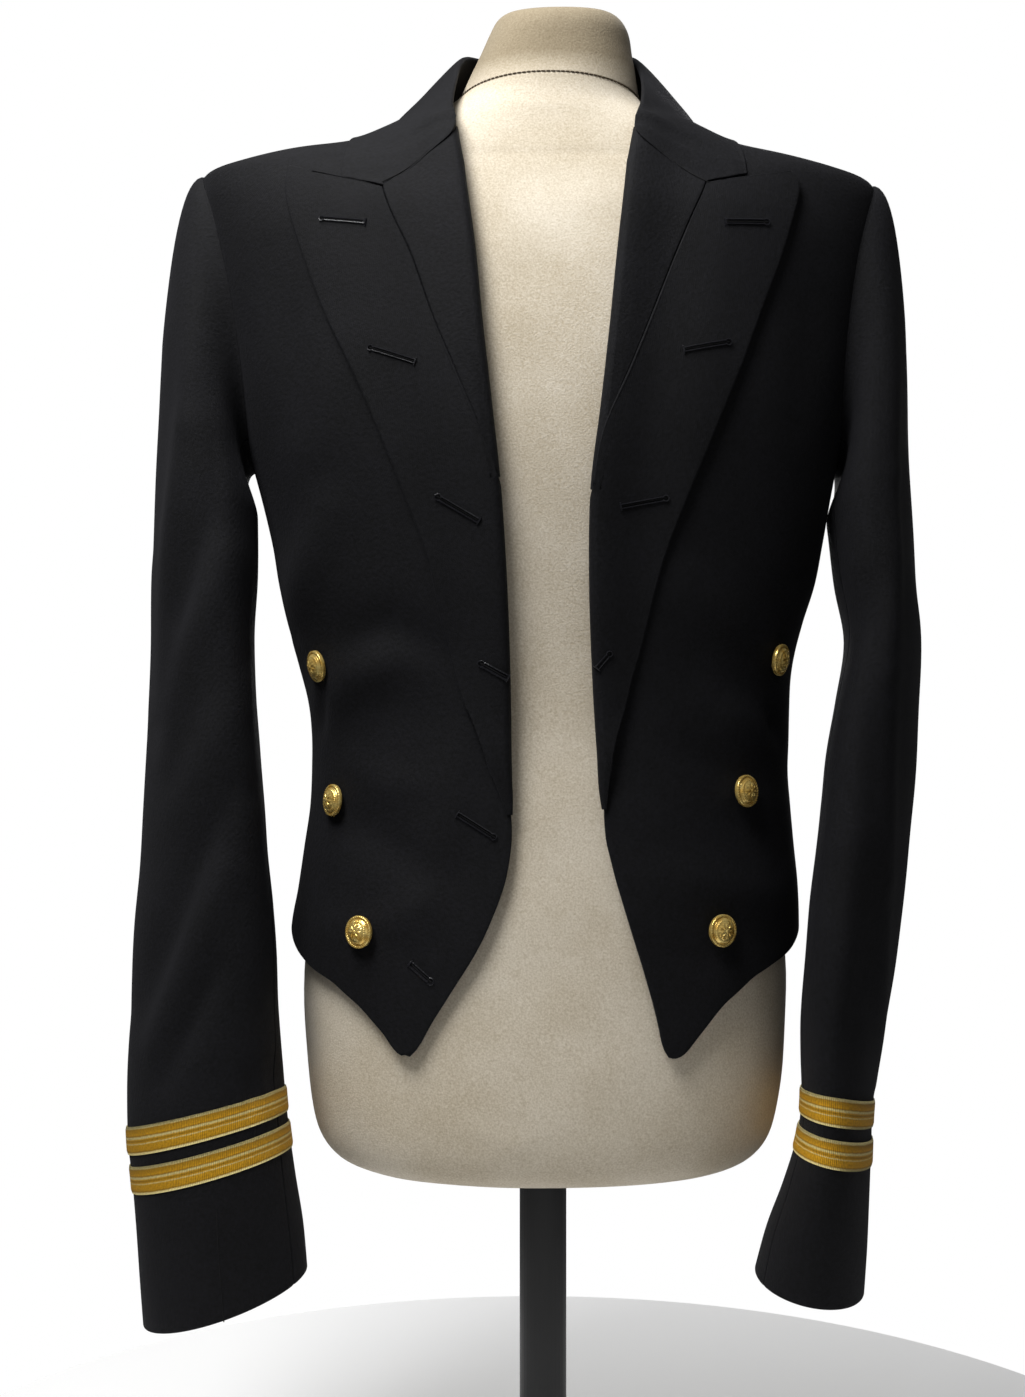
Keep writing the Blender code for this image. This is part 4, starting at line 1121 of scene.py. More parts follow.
@dataclass(frozen=True)
class BodyTailor:
    """Makes the fronts and the backs.

    Attributes:
        maker: links the meshes.
        columns: steps from the front's edge, or the back's seam, to the side.
        fine: steps between two rows of the armhole.
        edge_share: how much of a front's rows lies on its edge, below the neckline.
        tip_round: how far the point at the hem is rounded in, and tip_run, over what height.
        hem_round: how far the hem is rounded up there, and hem_run, over what share of its width.
        neck_end: how much of the back's top row lies on the neck.
        mitre_steps: columns over which the wall turns to its mitre at the armhole.
    """

    maker: MeshMaker
    columns: int = 66
    fine: int = 9
    edge_share: float = 0.8
    tip_round: float = 2.6
    tip_run: float = 8
    hem_round: float = 1.6
    hem_run: float = 0.06
    neck_end: float = 0.4
    mitre_steps: int = 4

    def side_edge(self, rows: Array, front: bool) -> Array:
        """The column of a panel at its side seam and armhole, for the wearer's left.

        Args:
            rows: the rows' own steps.
            front: whether the panel is a front.

        Returns:
            Rows of (angle, row).
        """
        low, high = BODY.side_row(np.array([SIDE_HEM_Z, UNDERARM_Z]))
        share = np.clip(rows / SEAM_ROWS, 0, 1)
        seam = np.stack([np.full(rows.shape, HALF_PI), low + (high - low) * share], axis=-1)
        k = np.clip(rows - SEAM_ROWS, 0, LOOP_HALF)
        loop = np.stack(armhole(Side.LEFT, k if front else 2 * LOOP_HALF - k), axis=-1)
        return np.where((rows <= SEAM_ROWS)[:, None], seam, loop)

    def rows(self) -> Array:
        """The rows of a panel, in the side seam's and armhole's own steps."""
        return np.linspace(0, SEAM_ROWS + LOOP_HALF, (SEAM_ROWS + LOOP_HALF) * self.fine + 1)

    def front_edge(self, side: Side, count: int) -> Array:
        """The column of a front along its cut-away edge and then its neckline.

        Args:
            side: the wearer's side.
            count: rows of the panel.

        Returns:
            Rows of (angle, row).
        """
        climb = (count - 1) * self.edge_share
        at = np.arange(count) / climb
        z = TIP_Z + (GORGE_Z - TIP_Z) * np.clip(at, 0, 1)
        rounded = side.value * self.tip_round * np.clip(1 - (z - TIP_Z) / self.tip_run, 0, 1) ** 2
        edge = np.stack(BODY.locate(edge_x(side, z) + rounded, z), axis=-1)
        marks = np.array([edge[int(climb)]] + [(side.value * math.radians(a), h) for a, h in NECKLINE])
        over = np.clip((at - 1) / (1 / self.edge_share - 1), 0, 1) * len(NECKLINE)
        return np.where((at <= 1)[:, None], edge, spline(marks, over))

    def front_hem(self, side: Side, v: Array) -> Array:
        """The heights of a front's hem.

        Args:
            side: the wearer's side.
            v: 0 at the point and 1 at the side seam.

        Returns:
            The heights, smoothed and rounded up at the point.
        """
        hem = FRONT_HEM[side.word]
        height = np.interp(v, column(hem, "at"), column(hem, "z"))
        height = np.pad(height, 2, mode="reflect", reflect_type="odd")
        height = np.convolve(height, np.ones(5) / 5, mode="valid")
        return height + self.hem_round * np.clip(1 - v / self.hem_run, 0, 1) ** 2

    def front(self, side: Side) -> bpy.types.Object:
        """A front, from its cut-away edge to the side seam, armhole and shoulder seam.

        Args:
            side: the wearer's side.

        Returns:
            The linked object.
        """
        rows = self.rows()
        v = np.linspace(0, 1, self.columns + 1)
        right = self.side_edge(rows, True) * np.array([side.value, 1.0])
        left = self.front_edge(side, len(rows))
        row = BODY.side_row(self.front_hem(side, v))
        bottom = np.stack([left[0, 0] * (1 - v) + right[0, 0] * v, row], axis=-1)
        shoulder = NECK_POINT + (SHOULDER_TIP - NECK_POINT) * v
        top = np.stack([np.full(v.shape, side.value * HALF_PI), shoulder], axis=-1)
        left[0], left[-1], right[0], right[-1] = bottom[0], top[0], bottom[-1], top[-1]
        return self.panel("front", side, coons(left, right, bottom, top), rows, (0.9, 0.3, 0.6, 0.9))

    def back(self, side: Side) -> bpy.types.Object:
        """Half of the back, from the centre seam to the side seam, armhole and shoulder seam.

        Args:
            side: the wearer's side.

        Returns:
            The linked object.
        """
        rows = self.rows()
        v = np.linspace(0, 1, self.columns + 1)
        right = self.side_edge(rows, False) * np.array([side.value, 1.0])
        z = SIDE_HEM_Z - BACK_HEM_POINT * (1 - v) ** 1.3
        bottom = np.stack([side.value * (math.pi - v * HALF_PI), BODY.side_row(z)], axis=-1)
        climb = (NECK_POINT - NECK_DIP - bottom[0, 1]) * np.linspace(0, 1, len(rows))
        left = np.stack([np.full(rows.shape, side.value * math.pi), bottom[0, 1] + climb], axis=-1)
        neck = np.clip(v / self.neck_end, 0, 1)
        over = np.clip((v - self.neck_end) / (1 - self.neck_end), 0, 1)
        top = np.stack([side.value * (math.pi - neck * HALF_PI),
                        NECK_POINT - NECK_DIP * (1 - neck) + (SHOULDER_TIP - NECK_POINT) * over], axis=-1)
        right[0], right[-1] = bottom[-1], top[-1]
        return self.panel("back", side, coons(left, right, bottom, top), rows, (0.9, 0.3, 0.7, 0.9))

    def panel(self, kind: str, side: Side, cells: Array, rows: Array, radius: tuple) -> bpy.types.Object:
        """A body panel, its wall shared with the sleeve at the armhole.

        Args:
            kind: front or back.
            side: the wearer's side.
            cells: rows by columns of (angle, row).
            rows: the rows' own steps.
            radius: the rounding of the borders.

        Returns:
            The linked object.
        """
        angle, h = cells[..., 0], cells[..., 1]
        points = body(angle, h)
        normals = grid_normals(points, BODY.normal(angle, h))
        at = rows >= SEAM_ROWS
        k = rows[at] - SEAM_ROWS if kind == "front" else 2 * LOOP_HALF - (rows[at] - SEAM_ROWS)
        mitre = seam_mitre(SleeveForm(side), k, BODY.normal(angle[at, -1], h[at, -1]))
        for step in range(self.mitre_steps):
            share = 1 - step / self.mitre_steps
            normals[at, -1 - step] = normals[at, -1 - step] * (1 - share) + mitre * share
        gap = SEAM_GAP / 2
        shrink = (0.0, gap, gap if kind == "back" else 0.0, gap)
        return self.maker.cloth(f"{kind}_{side.word}", Grid(points, normals, shrink, radius))


@dataclass(frozen=True)
class SleeveTailor:
    """Makes a sleeve's two pieces and the lace on its cuff.

    Attributes:
        maker: links the meshes.
        side: the wearer's side.
        head_rows: rows over the sleeve's head.
        fine: steps between two sections of the sleeve.
        around: steps between two marks of the armhole.
        mitre_steps: rows over which the wall turns to its mitre at the armhole.
        lace_rows: points across a stripe of lace.
        lace_columns: points round it.
        lace_edge: how thick its woven edges are, as a share of LACE_THICK, and lace_body, the rest of it.
    """

    maker: MeshMaker
    side: Side
    head_rows: int = 29
    fine: int = 9
    around: int = 6
    mitre_steps: int = 3
    lace_rows: int = 9
    lace_columns: int = 160
    lace_edge: float = 0.45
    lace_body: float = 0.9

    @property
    def form(self) -> SleeveForm:
        """The sleeve's form."""
        return SleeveForm(self.side)

    def piece(self, name: str, first: float, last: float) -> bpy.types.Object:
        """One of the two pieces of a sleeve.

        Args:
            name: the piece's name.
            first: the armhole's step at which it starts.
            last: the step at which it ends.

        Returns:
            The linked object.
        """
        rows = len(SLEEVE[self.side.word]) - 1
        head = np.linspace(0, 1, self.head_rows + 1)[:-1]
        t = np.concatenate([head, 1 + np.linspace(0, rows, rows * self.fine + 1)])
        k = np.linspace(first, last, round((last - first) * self.around) + 1)
        turn, at = np.meshgrid(k / (2 * LOOP_HALF), t)
        points = self.form.point(turn, at)
        normals = grid_normals(points, self.form.normal(turn, at))
        angle, h = armhole(self.side, k % (2 * LOOP_HALF))
        mitre = seam_mitre(self.form, k, BODY.normal(angle, h))
        for step in range(self.mitre_steps):
            share = 1 - step / self.mitre_steps
            normals[step] = normals[step] * (1 - share) + mitre * share
        gap = SEAM_GAP / 2
        grid = Grid(points, normals, (0.0, 0.0, gap, gap), (0.8, 0.9, 0.7, 0.7))
        return self.maker.cloth(f"{name}_{self.side.word}", grid)

    def lace(self, which: str) -> bpy.types.Object:
        """A stripe of lace round the cuff, laid on the sleeve's own points.

        Args:
            which: the upper or the lower stripe.

        Returns:
            The linked object.
        """
        share = np.linspace(0.5, -0.5, self.lace_rows)
        at = self.form.row_at(LACE_ROWS[self.side.word][which] + share * LACE_WIDTH)
        turn, t = np.meshgrid(np.linspace(0, 1, self.lace_columns + 1)[:-1], at)
        normal = self.form.normal(turn, t)
        thick = LACE_THICK * np.where(np.abs(share) > 0.49, self.lace_edge, self.lace_body)[:, None]
        low = self.form.point(turn, t, CLOTH + LACE_GAP)
        high = low + normal * thick[..., None]
        count, cols = turn.shape
        points = np.concatenate([low.reshape(-1, 3), high.reshape(-1, 3)])
        loop = closed_rows(count, cols)
        inner, outer = grid_faces(loop, True), grid_faces(loop + count * cols, False)
        rims = []
        for row, flip in ((0, False), (count - 1, True)):
            a, b = loop[row], loop[row] + count * cols
            quads = np.stack([a[:-1], b[:-1], b[1:], a[1:]], axis=1)
            rims.append(quads[:, ::-1] if flip else quads)
        faces = np.concatenate([inner, outer] + rims)
        first = points[faces[len(inner)]]
        if np.dot(np.cross(first[1] - first[0], first[3] - first[0]), normal[0, 0]) < 0:
            faces = faces[:, ::-1]
        across = np.tile(share[:, None] * LACE_WIDTH, (1, cols))
        steps = np.linalg.norm(np.diff(high[4], axis=0), axis=-1)
        around = np.tile(np.concatenate([[0], np.cumsum(steps)]), (count, 1))
        uv = np.stack([around, across], axis=-1).reshape(-1, 2) * MM
        name = f"lace_{which}_{self.side.word}"
        return self.maker.link(name, points, faces.tolist(), np.concatenate([uv, uv]), Finish.LACE)


@dataclass(frozen=True)
class Roll:
    """How a lapel turns back from its fold and lies on the front.

    Attributes:
        side: the wearer's side.
        rise: the heights over which the fold comes to stand off.
        curl: how far the lapel's outer part lifts again.
        curl_out: the distances from the fold over which it does.
        curl_up: the heights over which it does.
    """

    side: Side
    rise: Rise = Rise(424.0, 46.0)
    curl: float = 2.2
    curl_out: Rise = Rise(22, 34)
    curl_up: Rise = Rise(470, 120)

    def lift(self, x: Array, z: Array) -> Array:
        """How far the lapel's inner face stands off the front's.

        Args:
            x: across, in millimetres.
            z: up, in millimetres.

        Returns:
            The distance.
        """
        distance = np.abs(x - edge_x(self.side, np.minimum(z, GORGE_Z)))
        fold = ROLL_LIFT * self.rise.at(z) * np.exp(-(distance / ROLL_FADE) ** 2)
        return CLOTH + fold + self.curl * self.curl_out.at(distance) * self.curl_up.at(z)


@dataclass(frozen=True)
class LapelTailor:
    """Makes a lapel's outer strip and the facing beside it, with the rolled fold they share.

    Attributes:
        maker: links the meshes.
        side: the wearer's side.
        fine: steps between two rows of the lapel's table.
        turns: steps round the fold.
        wrap: how much of a half turn the fold makes.
        taper: the heights over which the strip narrows to its end.
        fold: the heights over which the strip's own fold starts.
        least: how much of the fold is left where there is none.
    """

    maker: MeshMaker
    side: Side
    fine: int = 9
    turns: int = 7
    wrap: float = 0.94
    taper: tuple[float, float] = (424, 34)
    fold: Rise = Rise(416, 46)
    least: float = 0.02

    def turned(self, x: Array, z: Array, part: Array) -> tuple[Array, Array]:
        """A layer laid on the front, its first column carried round the fold towards the front's own edge.

        Args:
            x: rows by columns of x, the first column on the fold.
            z: the same of z.
            part: how much of the fold each row goes round, from 0 to 1.

        Returns:
            Points and normals.
        """
        angle, h = BODY.locate(x, z)
        points, normals = body(angle, h, Roll(self.side).lift(x, z)), BODY.normal(angle, h)
        first, top = points[:, 0] + normals[:, 0] * CLOTH / 2, normals[:, 0]
        foot = body(angle[:, 0], h[:, 0], CLOTH / 2)
        centre = (first + foot) / 2
        radius = np.linalg.norm(first - foot, axis=-1, keepdims=True) / 2
        away = unit(np.cross(np.gradient(points[:, 0], axis=0), top))
        away *= np.sign(np.sum(away * (points[:, 0] - points[:, 3]), axis=-1, keepdims=True))
        rolled, faced = [], []
        for k in range(self.turns):
            turn = (math.pi * self.wrap * (1 - k / self.turns) * part)[:, None]
            way = top * np.cos(turn) + away * np.sin(turn)
            rolled.append(centre + way * (radius - CLOTH / 2))
            faced.append(way)
        return (np.concatenate([np.stack(rolled, axis=1), points], axis=1),
                np.concatenate([np.stack(faced, axis=1), normals], axis=1))

    def strip(self) -> bpy.types.Object:
        """The outer strip with its peak, down to the break.

        Returns:
            The linked object.
        """
        table = LAPEL[self.side.word]
        last = len(table) - 1
        share = np.linspace(0, 1, last * self.fine + 1)
        v = np.linspace(0, 1, 25)
        seam_x, seam_z, rim_x, rim_z = (smooth_column(table, name, share) for name in Lapel._fields)
        upper = share * last < FACING_END
        seam_x = np.where(upper, seam_x + self.side.value * STRIP_GAP / 2, edge_x(self.side, seam_z))
        taper = np.clip((seam_z - self.taper[0]) / self.taper[1], 0, 1) ** 0.8
        rim_x = seam_x + (rim_x - seam_x) * np.maximum(taper, 0.2)
        fold = self.least + (1 - self.least) * self.fold.at(seam_z)
        x, z = between(seam_x, rim_x, v), between(seam_z, rim_z, v)
        points, normals = self.turned(x, z, np.where(upper, self.least, fold))
        normals = normals * (0.45 + 0.55 * taper)[:, None, None]
        grid = Grid(points, normals, radius=(0.9, 0.4, 0.9, 0.9))
        return self.maker.cloth(f"lapel_{self.side.word}", grid)

    def facing(self) -> bpy.types.Object:
        """The inner triangle, between the roll line, the gorge and the strip.

        Returns:
            The linked object.
        """
        table = LAPEL[self.side.word]
        share = np.linspace(0, 1, 6 * 11 + 1)
        v = np.linspace(0, 1, 19)
        seam_x, seam_z = (smooth_column(table, name, share * FACING_END / (len(table) - 1))
                          for name in ("seam_x", "seam_z"))
        high = GORGE_Z - 4
        fold_z = high + (seam_z - high) * (0.15 * np.minimum(share / 0.1, 1) + 0.85 * share)
        fold_x = edge_x(self.side, fold_z)
        width = (seam_x - self.side.value * STRIP_GAP / 2 - fold_x) * self.side.value
        seam = fold_x + self.side.value * np.maximum(width, 1.4)
        x, z = between(fold_x, seam, v), between(fold_z, seam_z, v)
        points, normals = self.turned(x, z, np.ones(len(share)))
        grid = Grid(points, normals, radius=(0.3, 0.2, 0.3, 0.9))
        return self.maker.cloth(f"facing_{self.side.word}", grid)


@dataclass(frozen=True)
class CollarTailor:
    """Makes the collar: one cloth, up from the neck seam, over the roll line and down to its edge.

    Attributes:
        maker: links the meshes.
        fine: steps between two stations.
        across: steps from the neck seam to the leaf's edge.
        lean_up: the height from which the collar leans with the neck, and over which it comes to do so.
        notch_z: the height under which the collar's end is moved to close its notch.
        settling: how often the cloth is pressed down and drawn smooth.
        drawing: how often its points are drawn towards their neighbours each time.
        thinned: how much thinner the wall is at the leaf's edge.
    """

    maker: MeshMaker
    fine: int = 12
    across: int = 33
    lean_up: tuple[float, float] = (832, 24)
    notch_z: float = 794
    settling: int = 3
    drawing: int = 14
    thinned: float = 0.45

    def marks(self, side: Side, station: Station) -> list:
        """A station's four marks on one side, leaning with the neck.

        Args:
            side: the wearer's side.
            station: the marks as the table gives them.

        Returns:
            Four places.
        """
        lean = NECK_LEAN - LEAN_BACK if side is Side.LEFT else 0.0
        start, run = self.lean_up
        return [(side.value * x + lean * min(max((z - start) / run, 0), 1), y,
                 z - (NOTCH_CLOSE[side.word] if z < self.notch_z else 0.0)) for x, y, z in station]

    @staticmethod
    def press(points: Array, flush: Array) -> Array:
        """Points kept off the body beneath them, and laid on it where flush is 1.

        Args:
            points: the collar's middle face.
            flush: how far each point is laid on the body, from 0 to 1.

        Returns:
            The moved points.
        """
        neck = JACKET[NECK_POINT]
        x, y, z = points[..., 0], points[..., 1], points[..., 2]
        over = np.hypot((x - neck.centre) / neck.width, y / neck.front) >= 1.0
        front = y < 0

        def angle_at(h: Array) -> Array:
            """The angle of a row under the point, at the front or at the back."""
            angle = BODY.angle_for_x(x, h)
            return np.where(front, angle, math.pi - angle)

        def past(p: Array) -> Array:
            """Whether a point of the body lies inside the one above it."""
            outside = np.abs(x - p[..., 0]) > 0.5
            return outside | (np.abs(p[..., 1]) <= np.abs(y))

        angle, h = BODY.seek(12.0, TOP, angle_at, past, points.shape[:-1])
        surface, normal = body(angle, h), BODY.normal(angle, h)
        height = np.sum((points - surface) * normal, axis=-1)
        low = np.minimum(z, GORGE_Z)
        distance = np.where(x < 0, edge_x(Side.RIGHT, low) - x, x - edge_x(Side.LEFT, low))
        fold = ROLL_LIFT * np.exp(-(np.maximum(distance, 0) / ROLL_FADE) ** 2)
        out = COLLAR_REST + fold * smooth_step((835 - z) / 12) * front
        lifted = np.maximum(height, out)
        lifted = lifted + (out - lifted) * flush
        return points + normal * (np.where(over, lifted - height, 0.0))[..., None]

    def relax(self, points: Array) -> Array:
        """A grid of points with its inner points drawn towards their neighbours.

        Args:
            points: rows by columns of points.

        Returns:
            The moved points.
        """
        points = points.copy()
        for _ in range(self.drawing):
            around = (points[2:, 1:-1] + points[:-2, 1:-1] + points[1:-1, 2:] + points[1:-1, :-2]) / 4
            points[1:-1, 1:-1] += (around - points[1:-1, 1:-1]) * 0.6
            points[1:-1, -1] += ((points[2:, -1] + points[:-2, -1]) / 2 - points[1:-1, -1]) * 0.5
        return points

    def build(self) -> bpy.types.Object:
        """The collar.

        Returns:
            The linked object.
        """
        stations = [self.marks(Side.RIGHT, s) for s in COLLAR_SIDE] + [list(COLLAR_BACK)]
        stations += [self.marks(Side.LEFT, s) for s in reversed(COLLAR_SIDE)]
        at = np.linspace(0, len(stations) - 1, (len(stations) - 1) * self.fine + 1)
        t = np.linspace(0, len(COLLAR_BACK) - 1, self.across + 1)
        points = np.swapaxes(spline(np.swapaxes(spline(stations, at), 0, 1), t), 0, 1)
        # The ends lie on the lapels all over. From there back, the leaf's edge comes to lie on the shoulder.
        from_end = np.minimum(at, at[-1] - at)[:, None]
        late = smooth_step((from_end - 2.2) / 1.5)
        laid = smooth_step((t[None, :] - 1.7 - 0.85 * late) / (1.1 - 0.65 * late))
        flush = np.maximum(1 - smooth_step((from_end - 2.0) / 0.6), laid)
        for _ in range(self.settling):
            points = self.relax(self.press(points, flush))
        points = self.press(points, flush)
        normals = unit(np.cross(np.gradient(points, axis=0), np.gradient(points, axis=1)))
        thin = 1 - self.thinned * smooth_step((t - 2.3) / 0.6)
        inner = points - normals * CLOTH / 2
        grid = Grid(inner, normals * thin[None, :, None], radius=(0.5, 0.5, 0.3, 0.5))
        return self.maker.cloth("collar", grid)


@dataclass(frozen=True)
class FormTailor:
    """Makes the dress form's two cloth-covered solids.

    Attributes:
        maker: links the meshes.
        columns: points round.
        fine: steps between two sections.
        uneven: the height of the padding's slight waves.
    """

    maker: MeshMaker
    columns: int = 160
    fine: int = 5
    uneven: float = 0.35

    def build(self, name: str, rings: Sequence[Ring]) -> bpy.types.Object:
        """A solid through its sections, closed at both ends.

        Args:
            name: the object's name.
            rings: the sections.

        Returns:
            The linked object.
        """
        form = Bust(rings)
        h = np.linspace(0, len(rings) - 1, (len(rings) - 1) * self.fine + 1)
        turn, at = np.meshgrid(np.arange(self.columns) * 2 * math.pi / self.columns, h)
        points = form.point(turn, at)
        x, y, z = points[..., 0], points[..., 1], points[..., 2]
        lift = self.uneven * ripple(x, z + y, 46.0, 2.2)
        lift += np.clip(-y / 30, 0, 1) * spine_height(FORM_FOLDS, x, z)
        points = points + form.normal(turn, at) * lift[..., None]
        loop = closed_rows(len(h), self.columns)
        vertices = np.concatenate([points.reshape(-1, 3), [points[0].mean(axis=0), points[-1].mean(axis=0)]])
        first, last = loop[0].tolist(), loop[-1].tolist()
        faces = grid_faces(loop, False).tolist()
        faces += [(a, b, len(vertices) - 2) for a, b in zip(first[1:], first)]
        faces += [(a, b, len(vertices) - 1) for a, b in zip(last, last[1:])]
        return self.maker.link(name, vertices, faces, None, Finish.COVER)


class Corner(NamedTuple):
    """A corner of a button's underside: its distance from the middle and its height over the foot."""

    radius: float
    height: float


class Relief(NamedTuple):
    """A ring of raised work on a button: how many, where, how far it reaches and how high it stands."""

    count: int
    radius: float
    reach: float
    height: float

    def ring(self, r: Array, power: int = 2) -> Array:
        """The ring's height at a distance from the middle, flatter on top where power is higher."""
        return self.height * np.exp(-((r - self.radius) / self.reach) ** power)


UNDERSIDE = (Corner(9.5, 3.6), Corner(9.3, 2.9), Corner(8.8, 2.6), Corner(3.0, 2.4), Corner(2.4, 1.9),
             Corner(2.4, 0.0), Corner(0.02, 0.0))
BOSS = Relief(1, 0.0, 0.95, 0.55)
PETALS = Relief(8, 3.1, 1.35, 0.55)
SEPALS = Relief(8, 4.6, 0.7, 0.30)
BEADS = Relief(36, 6.3, 0.42, 0.42)
ROPE = Relief(36, 8.6, 0.8, 0.20)


@dataclass(frozen=True)
class ButtonTailor:
    """Makes a domed gilt button with a roped rim, a ring of beads and a plain rosette.

    Attributes:
        maker: links the meshes.
        columns: points round.
        middle: radius of the innermost ring of points.
        dome: radius of the dome, and crown, its height over the button's foot.
        dome_drop: how far the dome falls to its edge.
        groove: radius at which the rope starts.
        rope_foot: height of the rope's sides, and rope_round, how far it stands up from them.
        rope_half: half of the rope's width.
        toward_middle: how far each button lies nearer the middle of the chest than its solid.
        out: how far it stands off the cloth.
        tilt: how far it leans outwards, and squeeze, how much smaller it is drawn for that.
        spin: how far it turns on its shank for each millimetre of height, so that no two are alike.
    """

    maker: MeshMaker
    columns: int = 144
    middle: float = 0.02
    dome: float = 7.6
    crown: float = 8.2
    dome_drop: float = 2.9
    groove: float = 7.72
    rope_foot: float = 4.7
    rope_round: float = 0.75
    rope_half: float = 0.92
    toward_middle: float = 2.6
    out: float = 0.5
    tilt: float = 0.12
    squeeze: float = 0.96
    spin: float = 0.3

    def profile(self) -> tuple[Array, Array]:
        """The button's profile from the middle of its face to the middle of its underside.

        Returns:
            Radius and height of each ring of points.
        """
        edge = UNDERSIDE[0].radius
        face = np.concatenate([np.linspace(self.middle, self.dome, 46), np.linspace(self.groove, edge, 16)])
        wide = self.dome + 0.1
        crown = self.crown - self.dome_drop * (np.clip(face, 0, wide) / wide) ** 2.4
        swell = np.sqrt(np.clip(1 - ((face - ROPE.radius) / self.rope_half) ** 2, 0, 1))
        rope = self.rope_foot + self.rope_round * swell
        height = np.where(face < (self.dome + self.groove) / 2, crown, rope)
        return (np.concatenate([face, column(UNDERSIDE, "radius")]),
                np.concatenate([height, column(UNDERSIDE, "height")]))

    def build(self, name: str, side: Side, spot: Button) -> bpy.types.Object:
        """One button, seated just off the front.

        Args:
            name: the object's name.
            side: the wearer's side.
            spot: where it sits.

        Returns:
            The linked object.
        """
        radius, height = self.profile()
        turn = np.arange(self.columns) * 2 * math.pi / self.columns
        r, a = radius[:, None], turn[None, :]
        face = (np.arange(len(radius)) < len(radius) - len(UNDERSIDE))[:, None]
        raised = BOSS.ring(r, 4) + np.clip(np.cos(PETALS.count * a), 0, 1) ** 0.6 * PETALS.ring(r)
        raised = raised + np.clip(np.cos(SEPALS.count * a + math.pi), 0, 1) * SEPALS.ring(r)
        raised += np.abs(np.cos(BEADS.count / 2 * a)) * BEADS.ring(r)
        raised += np.cos(ROPE.count * a - (r - ROPE.radius) * 2.4) * ROPE.ring(r, 4)
        z = height[:, None] + raised * face
        points = np.stack([r * np.cos(a) * self.squeeze, r * np.sin(a) * self.squeeze, z], axis=-1)
        faces = grid_faces(closed_rows(len(radius), self.columns), True)
        angle, h = BODY.locate(np.array(spot.x), np.array(spot.z))
        foot = body(angle, h, CLOTH + SEAM_GAP) - np.array([side.value * self.toward_middle, self.out, 0.0])
        normal = unit(BODY.normal(angle, h) + np.array([side.value * self.tilt, 0.0, 0.0]))
        turned = Vector((0, 0, 1)).rotation_difference(Vector(normal)).to_matrix()
        spin = Matrix.Rotation(self.spin * spot.z, 3, "Z")
        placed = points.reshape(-1, 3) @ np.array(turned @ spin).T + foot
        return self.maker.link(name, placed, faces.tolist(), None, Finish.GILT)


@dataclass(frozen=True)
class Paint:
    """A finish's main numbers.

    Attributes:
        colour: sRGB hex.
        roughness: of the surface.
        metallic: 0 or 1, or between them where silk or lacquer hides some of the metal.
        sheen: the nap's weight.
    """

    colour: str
    roughness: float
    metallic: float = 0.0
    sheen: float = 0.0


PAINTS = {
    Finish.WOOL: Paint("0C0C0F", 0.78, 0.0, 0.035),
    Finish.LACE: Paint("E6B126", 0.45, 0.1),
    Finish.GILT: Paint("E4B850", 0.24, 0.6),
    Finish.COVER: Paint("D8CBB4", 0.92, 0.0, 0.1),
    Finish.STAND: Paint("1B1B1C", 0.42),
    Finish.TWIST: Paint("232328", 0.34),
    # The near-black thread is painted shade.
    Finish.SLIT: Paint("020203", 0.95),
    Finish.SEAM: Paint("4E4130", 0.8),
}


def linear(code: str) -> tuple[float, float, float, float]:
    """An sRGB hex colour as linear RGBA."""
    parts = [int(code[k:k + 2], 16) / 255 for k in (0, 2, 4)]
    return (*[p / 12.92 if p <= 0.04045 else ((p + 0.055) / 1.055) ** 2.4 for p in parts], 1.0)


def fill_ramp(ramp: bpy.types.ColorRamp, stops: Sequence[tuple[float, str]]) -> None:
    """Sets a colour ramp's stops.

    Args:
        ramp: a new ramp, with two stops.
        stops: place and hex colour of each.
    """
    while len(ramp.elements) < len(stops):
        ramp.elements.new(0.5)
    for element, (at, code) in zip(ramp.elements, stops):
        element.position = at
        element.color = linear(code)


def add_node(tree: bpy.types.NodeTree, kind: str, links: dict | None = None,
             **settings: object) -> bpy.types.Node:
    """Adds a node with its settings and links.

    Args:
        tree: the tree that it goes in.
        kind: the node's type.
        links: what feeds each of its inputs: a socket, a node for its first output, or a plain value.
        settings: the node's own properties, or the stops of its colour ramp.

    Returns:
        The node.
    """
    node = tree.nodes.new(kind)
    for key, value in settings.items():
        if key == "stops":
            fill_ramp(node.color_ramp, value)
        else:
            setattr(node, key, value)
    for key, value in (links or {}).items():
        if isinstance(value, bpy.types.Node):
            value = value.outputs[0]
        if isinstance(value, bpy.types.NodeSocket):
            tree.links.new(value, node.inputs[key])
        else:
            node.inputs[key].default_value = value
    return node


